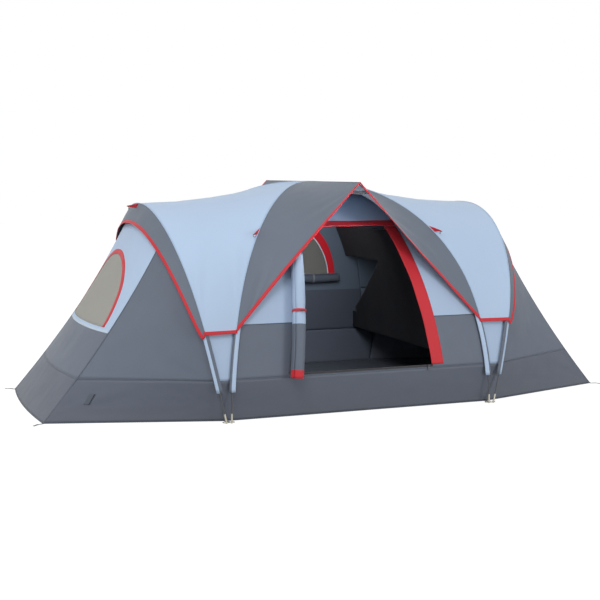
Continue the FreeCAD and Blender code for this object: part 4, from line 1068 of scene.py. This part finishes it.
def roof_band(hoop_first):
    """The cloth that hangs from the left hoop, deepest in its middle."""
    phi = hoop.even(hoop_first, 180.0 - hoop_first, 150)
    t = (phi - hoop_first) / (180.0 - 2 * hoop_first)
    drop = mix(BAND_LEAST, BAND_DROP, np.sqrt(np.maximum(np.sin(math.pi * t), 0)))
    top = hoop.point(phi, FLY_LIFT)
    return rulings(top, top + band_fall * drop[:, None], 10)


def bound_sheet(kind, place, soft, node):
    """A dark cloth with red tape folded round its free edge."""
    made = piece(f"{kind}_{place}", [soft], [dark], node)
    edge = tape(f"{kind}_binding_{place}", [binding(border(soft, TAPE_W))], red, probe=SEWN_PROBE)


def awning_half(first, corner, peak):
    """The front left half of an awning, from the dome's line out to its free edge."""
    turns = dome.even(mix(first, 90.0, 0.004), 90.0, 90)
    start, end = dome.length_at((first, 90.0))
    t = (dome.length_at(turns) - start) / (end - start)
    a, b = roof_line(turns), mix(corner, peak, t[:, None])
    b[:, 1] += EDGE_SAG * 4 * t * (1 - t)
    a[:, 0], b[:, 0] = np.minimum(a[:, 0], 0), np.minimum(b[:, 0], 0)
    a[:, 1] = np.minimum(a[:, 1], -CROSSING_FREE * 0.2)
    return rulings(a, b, 44)


def rain_roof():
    first, hoop_first = dome.at_height(FLY_LOW, FLY_LIFT), hoop.at_height(FLY_LOW, FLY_LIFT)
    cloth = both_halves(rulings(roof_line(dome.even(first, 90.0, 72)),
                                hoop.point(hoop.even(hoop_first, 90.0, 72), FLY_LIFT), 46))
    band = roof_band(hoop_first)
    corner, peak = roof_line(first), np.array([0.0, -RIDGE_REACH, PEAK_Z])
    awning = awning_half(first, corner, peak)
    for side, right in SIDES:
        grid = mirror(cloth, right)
        soft = drape(dip(grid), 81 + right, 0.0030, 0.55,
                     pulls=[(r, c, 0.40, 5, 0.006) for r in (0.0, 1.0) for c in (0.0, 1.0)])
        made = piece("roof_cloth_" + side, [soft], [light], "roof_panel_" + side)
        turned = soft.transpose(1, 0, 2)
        feet = [binding(lengthen(border(strip, TAPE_W), TAPE_W / 2))
                for strip in (turned[:, ::-1], turned)]
        feet = tape("roof_foot_binding_" + side, feet, red, "roof_edge_tape", probe=SEWN_PROBE)
        grid = mirror(band, right)
        soft = drape(grid, 91 + right, 0.0024, 0.34, loose=0.8)
        bound_sheet("roof_band", side, soft, "roof_bands")
        for name, rear in FRONTS:
            grid = mirror(awning, right, rear)
            soft = drape(grid, 101 + right + 2 * rear, 0.0028, 0.5, loose=0.6,
                         pulls=((0.0, 1.0, 0.45, 5, 0.005), (1.0, 1.0, 0.45, 6, 0.006),
                                (1.0, 0.0, 0.30, 5, 0.003)))
            bound_sheet("awning", f"{name}_{side}", soft, "awning_" + name)

    above = FLY_LOW + TAPE_W + 0.004
    path = roof_line(dome.even(dome.at_height(above, FLY_LIFT), 90.0, 90))
    low_turn = hoop.at_height(above, FLY_LIFT)
    lean = hoop.point(hoop.even(low_turn, 180 - low_turn, 150), FLY_LIFT)
    welts("roof_seam_welts", at_ends(tube(lean, SEAM_R)) + at_corners(tube(path, ROOF_SEAM_R)),
          seam_light)
    y = np.linspace(-CROSSING_FREE, -RIDGE_REACH, 50)
    ridge = points(0.0, y, np.interp(y, (-RIDGE_REACH, 0), (PEAK_Z, ROOF_TOP)) - 0.0008)
    welts("ridge_seam_welts", at_walls(tube(ridge, RIDGE_SEAM_R)), seam_dark)

    down = row(STRAP_DROP, STRAP_DROP + WEBBING_W, 4)
    half = down * (peak[0] - corner[0]) / (peak[2] - corner[2]) - 0.002
    share = col(-1, 1, 24)
    peak_strap = points(half * share, STRAP_IN - RIDGE_REACH,
                        PEAK_Z - down - STRAP_SAG * (1 - share**2))
    strap("peak_webbings", at_walls(peak_strap), dark_webbing, "peak_straps", thick=0.0012)


# --- rolls
def off_wall(x, z, distance):
    """A point in front of the long wall, square to its face."""
    slope = wall_edge(z + WALL_STEP)[1] - wall_edge(z - WALL_STEP)[1]
    return on_wall(x, z) + unit(np.array([0.0, -2 * WALL_STEP, slope])) * distance


def spiral(axis, core, outer, turns, per_turn, phase, pinch=None):
    """Cloth wound round an axis, from its core out to its free edge, and drawn in by its tie."""
    one, two = square_to(unit(np.gradient(axis, axis=0)))
    turn = np.linspace(0, 2 * math.pi * turns, turns * per_turn + 1)
    along = col(0, 1, len(axis))
    slack = (1 + 0.018 * np.sin(2 * turn + 3.0 * along + phase)
             + 0.012 * np.sin(3 * turn - 7.0 * along) + 0.010 * np.sin(turn + 14.0 * along))
    radius = mix(core, outer, turn / turn[-1]) * slack / 1.04
    if pinch is not None:
        radius = radius * (1 - 0.09 * np.exp(-((along - pinch) / 0.035) ** 2))
    return swept(axis, one, two, radius, turn + phase)


def band_round(centre, ahead, radius):
    """A short loop of tape round a roll."""
    ahead = unit(ahead)[None]
    ring = swept(centre[None], *square_to(ahead), radius, np.linspace(0, 2 * math.pi, 41))[0]
    return ring[:, None] + np.linspace(-TIE_W / 2, TIE_W / 2, 5)[None, :, None] * ahead


def rolls():
    z = stops(ROLL_LOW, ROLL_END, SKIRT_H, ROLL_HIGH, cell=0.018)
    share = (z - ROLL_LOW) / (ROLL_HIGH - ROLL_LOW)
    bend = ((1 - share) * (1 - 2 * share), 4 * share * (1 - share), share * (2 * share - 1))
    path = sum(weight[:, None] * off_wall(mix(ROLL_X_LOW, ROLL_X_HIGH, s),
                                          mix(ROLL_LOW, ROLL_HIGH, s), ROLL_D / 2 + ROLL_GAP)
               for weight, s in zip(bend, (0.0, 0.5, 1.0)))
    tied = (TIE_Z - ROLL_LOW) / (ROLL_HIGH - ROLL_LOW)
    grid = spiral(path, ROLL_CORE / 2 + 0.003, ROLL_D / 2 - CLOTH, 5, 44, 2.2, tied)

    def paint(g):
        middle = (g[:-1, 0, 2] + g[1:, 0, 2]) / 2
        colour = np.where(middle < ROLL_END, 2, np.where(middle < SKIRT_H, 1, 0))
        return np.repeat(colour[:, None], g.shape[1] - 1, 1)

    roll = piece("door_flap_roll", [grid], [light_inside, skirt, red], "door_roll", "door_roll",
                 grow=1.0, paint=paint, outward=False)
    near = int(np.argmin(np.abs(z - TIE_Z)))
    loop = band_round(path[near], path[near + 1] - path[near - 1], ROLL_D / 2 * 0.985)
    tie = strap("door_roll_tape", [loop], red, "door_roll_tie", body="door_roll")

    low, high = (np.array(corner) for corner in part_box("rear_window_roll"))
    middle, reach = (low + high) / 2, (high[0] - low[0]) / 2
    x = np.linspace(-reach, reach, 60)
    waves = REAR_ROLL_SAG * np.sin(np.linspace(0, 3 * math.pi, 60)) ** 2
    grid = spiral(points(x, middle[1], middle[2] - waves), ROLL_CORE / 2 + 0.002,
                  REAR_ROLL_D / 2 - CLOTH, 4, 40, 0.6)
    # the rolled flap takes the dark painted-shade tone
    roll = piece("rear_flap_roll", [grid], [shaded_flap], "rear_window_roll", grow=1.0,
                 outward=False)
    loops = [band_round(np.array([at, middle[1], middle[2] - 0.003]), np.array([1.0, 0, 0]),
                        REAR_ROLL_D / 2 + 0.0016) for at in (-REAR_TIE_X, REAR_TIE_X)]
    ties = strap("rear_roll_webbings", loops, webbing, "rear_roll_ties")


# --- dividers
def dividers():
    """Curtains across the tent, with a way through beside the rear wall."""
    z = stops(DIVIDER_LOW, PASS_LOW, PASS_HIGH, DIVIDER_HIGH)
    reach = -wall_edge(z)[1] - 0.006
    width = PASS_REACH * np.clip((z - PASS_LOW) / (PASS_HIGH - PASS_LOW), 0, 1)
    gate = reach - np.maximum(width, SELVAGE)
    near = mix(-reach[:, None], gate[:, None], row(0, 1, 61))
    far = mix(gate[:, None], reach[:, None], row(0, 1, 21)[:, 1:])
    y = np.concatenate([near, far], 1)
    keep = opening(z, y.shape[1], PASS_LOW, PASS_HIGH, 60, 80)
    hang = 0.004 * np.sin(y * 7.0 + 0.6) + 0.0015 * np.sin(y * 19.0)
    hang *= (1 - (z - DIVIDER_LOW) / (DIVIDER_HIGH - DIVIDER_LOW))[:, None] ** 0.5
    x = mix(DIVIDER_FOOT_X, DIVIDER_TOP_X, (z / DIVIDER_HIGH) ** 3)[:, None]
    grid = points(x + hang * np.clip((reach[:, None] - np.abs(y)) / 0.1, 0, 1), y, z[:, None])
    # the curtains carry the near-black tone that paints the rooms' shade
    for side, right in (("right", False), ("left", True)):
        shape = mirror(grid, right)
        sheet("divider_curtain_" + side, shape, shape, [shaded_curtain], "dividers", ["ceiling_" + side],
              "hung", keep, grow=0.0, outward=False)


# --- tabs, loops and straps
def tab(a, b, tip, bow):
    """A tab from the line between two points out to its tip, narrowing on the way."""
    s = np.linspace(0, 1, 14)[:, None, None]
    half = (a - b) / 2 * (1 - 0.78 * s) * np.linspace(1, -1, 9)[None, :, None]
    return mix((a + b) / 2, tip, s * 0.98) + half + np.array(bow) * np.sin(math.pi * s)


def small_parts():
    half = math.degrees(TAB_W / 2 / dome.radii[1])
    a, b = (dome.point(TAB_TURN + s * half, FLY_LIFT + 0.001) for s in (-1, 1))
    tip = (a + b) / 2 + TAB_L * (dome.out - (0, 0, TAB_FALL))
    grids = at_corners(tab(a, b, tip, (0, 0, 0.002)))
    a = (hoop.point(90.0, FLY_LIFT) + band_fall * 0.004
         + np.array([band_fall[2], 0, -band_fall[0]]) * 0.0006)
    tip = a - TAB_L * np.array([1, 0, TAB_FALL])
    grids += at_ends(tab(a, a + band_fall * TAB_W * 0.6, tip, (0, 0.0012, 0)))
    strap("guy_tab_cloths", grids, red, "guy_tabs", thick=0.0016)

    # the peg loops lie on the ground, out from the corners
    out, side = np.array([-0.8, -0.6, 0]), np.array([0.6, -0.8, 0]) * LOOP_W / 2
    s = np.linspace(0, 1, 22)[:, None, None]
    rise = 0.0012 + LOOP_RISE * np.sin(math.pi * s) ** 2 * (s < 0.999)
    loop = (np.array([-CORNER_X, -CORNER_Y, 0.0]) + out * (LOOP_L * s + 0.0004)
            + side * np.linspace(-1, 1, 9)[None, :, None] + rise * np.array([0, 0, 1.0]))
    strap("peg_webbings", at_corners(loop), webbing, "peg_loops")

    # a strap from the hem goes round each foot ring and back
    turn = np.linspace(-0.5 * math.pi, 1.5 * math.pi, 26)
    y = np.concatenate([[-HEM_Y - 0.001], RING_IN - FOOT_Y + RING_WRAP * np.cos(turn),
                        [-HEM_Y - 0.001]])
    z = np.concatenate([[RING_Z - RING_WRAP], RING_Z + RING_WRAP * np.sin(turn),
                        [RING_Z - RING_WRAP + 0.0022]])
    x = row(-FOOT_X - WEBBING_W / 2, -FOOT_X + WEBBING_W / 2, 6)
    strap("foot_straps", at_corners(points(x, y[:, None], z[:, None])), webbing, "foot_webbings")

    # the lead-in flap on the tub's front left slope, with the zip beside its fold
    t, s = (np.linspace(*ends)[:, None, None] for ends in ((PORT_LOW, PORT_HIGH, 12),
                                                          (PORT_NEAR, PORT_FAR, 6)))
    s = s.transpose(1, 0, 2)
    port = off(mix(mix(hem_foot, hem_corner, s), mix(tub_top, seam_point(BATHTUB_H), s), t),
               0.0016)
    tape("port_flap", [port], seam_dark, "cable_port_flap", thick=0.0012)
    slit = np.concatenate([port[:, 1:2] - (0.003, 0, 0), port[:, 1:2] + (0.003, 0, 0)], 1)
    tape("port_zip", [off(slit, 0.0022)], zipper)


def hardware():
    """The rigid nodes keep their shape and take their own finish."""
    finishes = {
        rod: "dome_pole_lower dome_pole_upper side_hoop_left side_hoop_right ridge_pole",
        steel: "pole_ferrules pole_tips foot_pins foot_rings peg_eyelets",
        zip_metal: "sill_slider sill_pull",
        plastic: "ridge_pole_caps pole_clips door_tie_toggle guy_ring_left guy_ring_right "
                 "guy_ring_front_left guy_ring_front_right guy_ring_rear_left guy_ring_rear_right",
    }
    for material, nodes in finishes.items():
        for name in nodes.split():
            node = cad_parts[name]
            if not node.material_slots:
                node.data.materials.append(material)
            for place in node.material_slots:
                place.material = material


floor_and_tub()
rear_wall(front_wall())
end_rooms()
inner_roof()
sleeves()
rain_roof()
rolls()
dividers()
small_parts()
hardware()
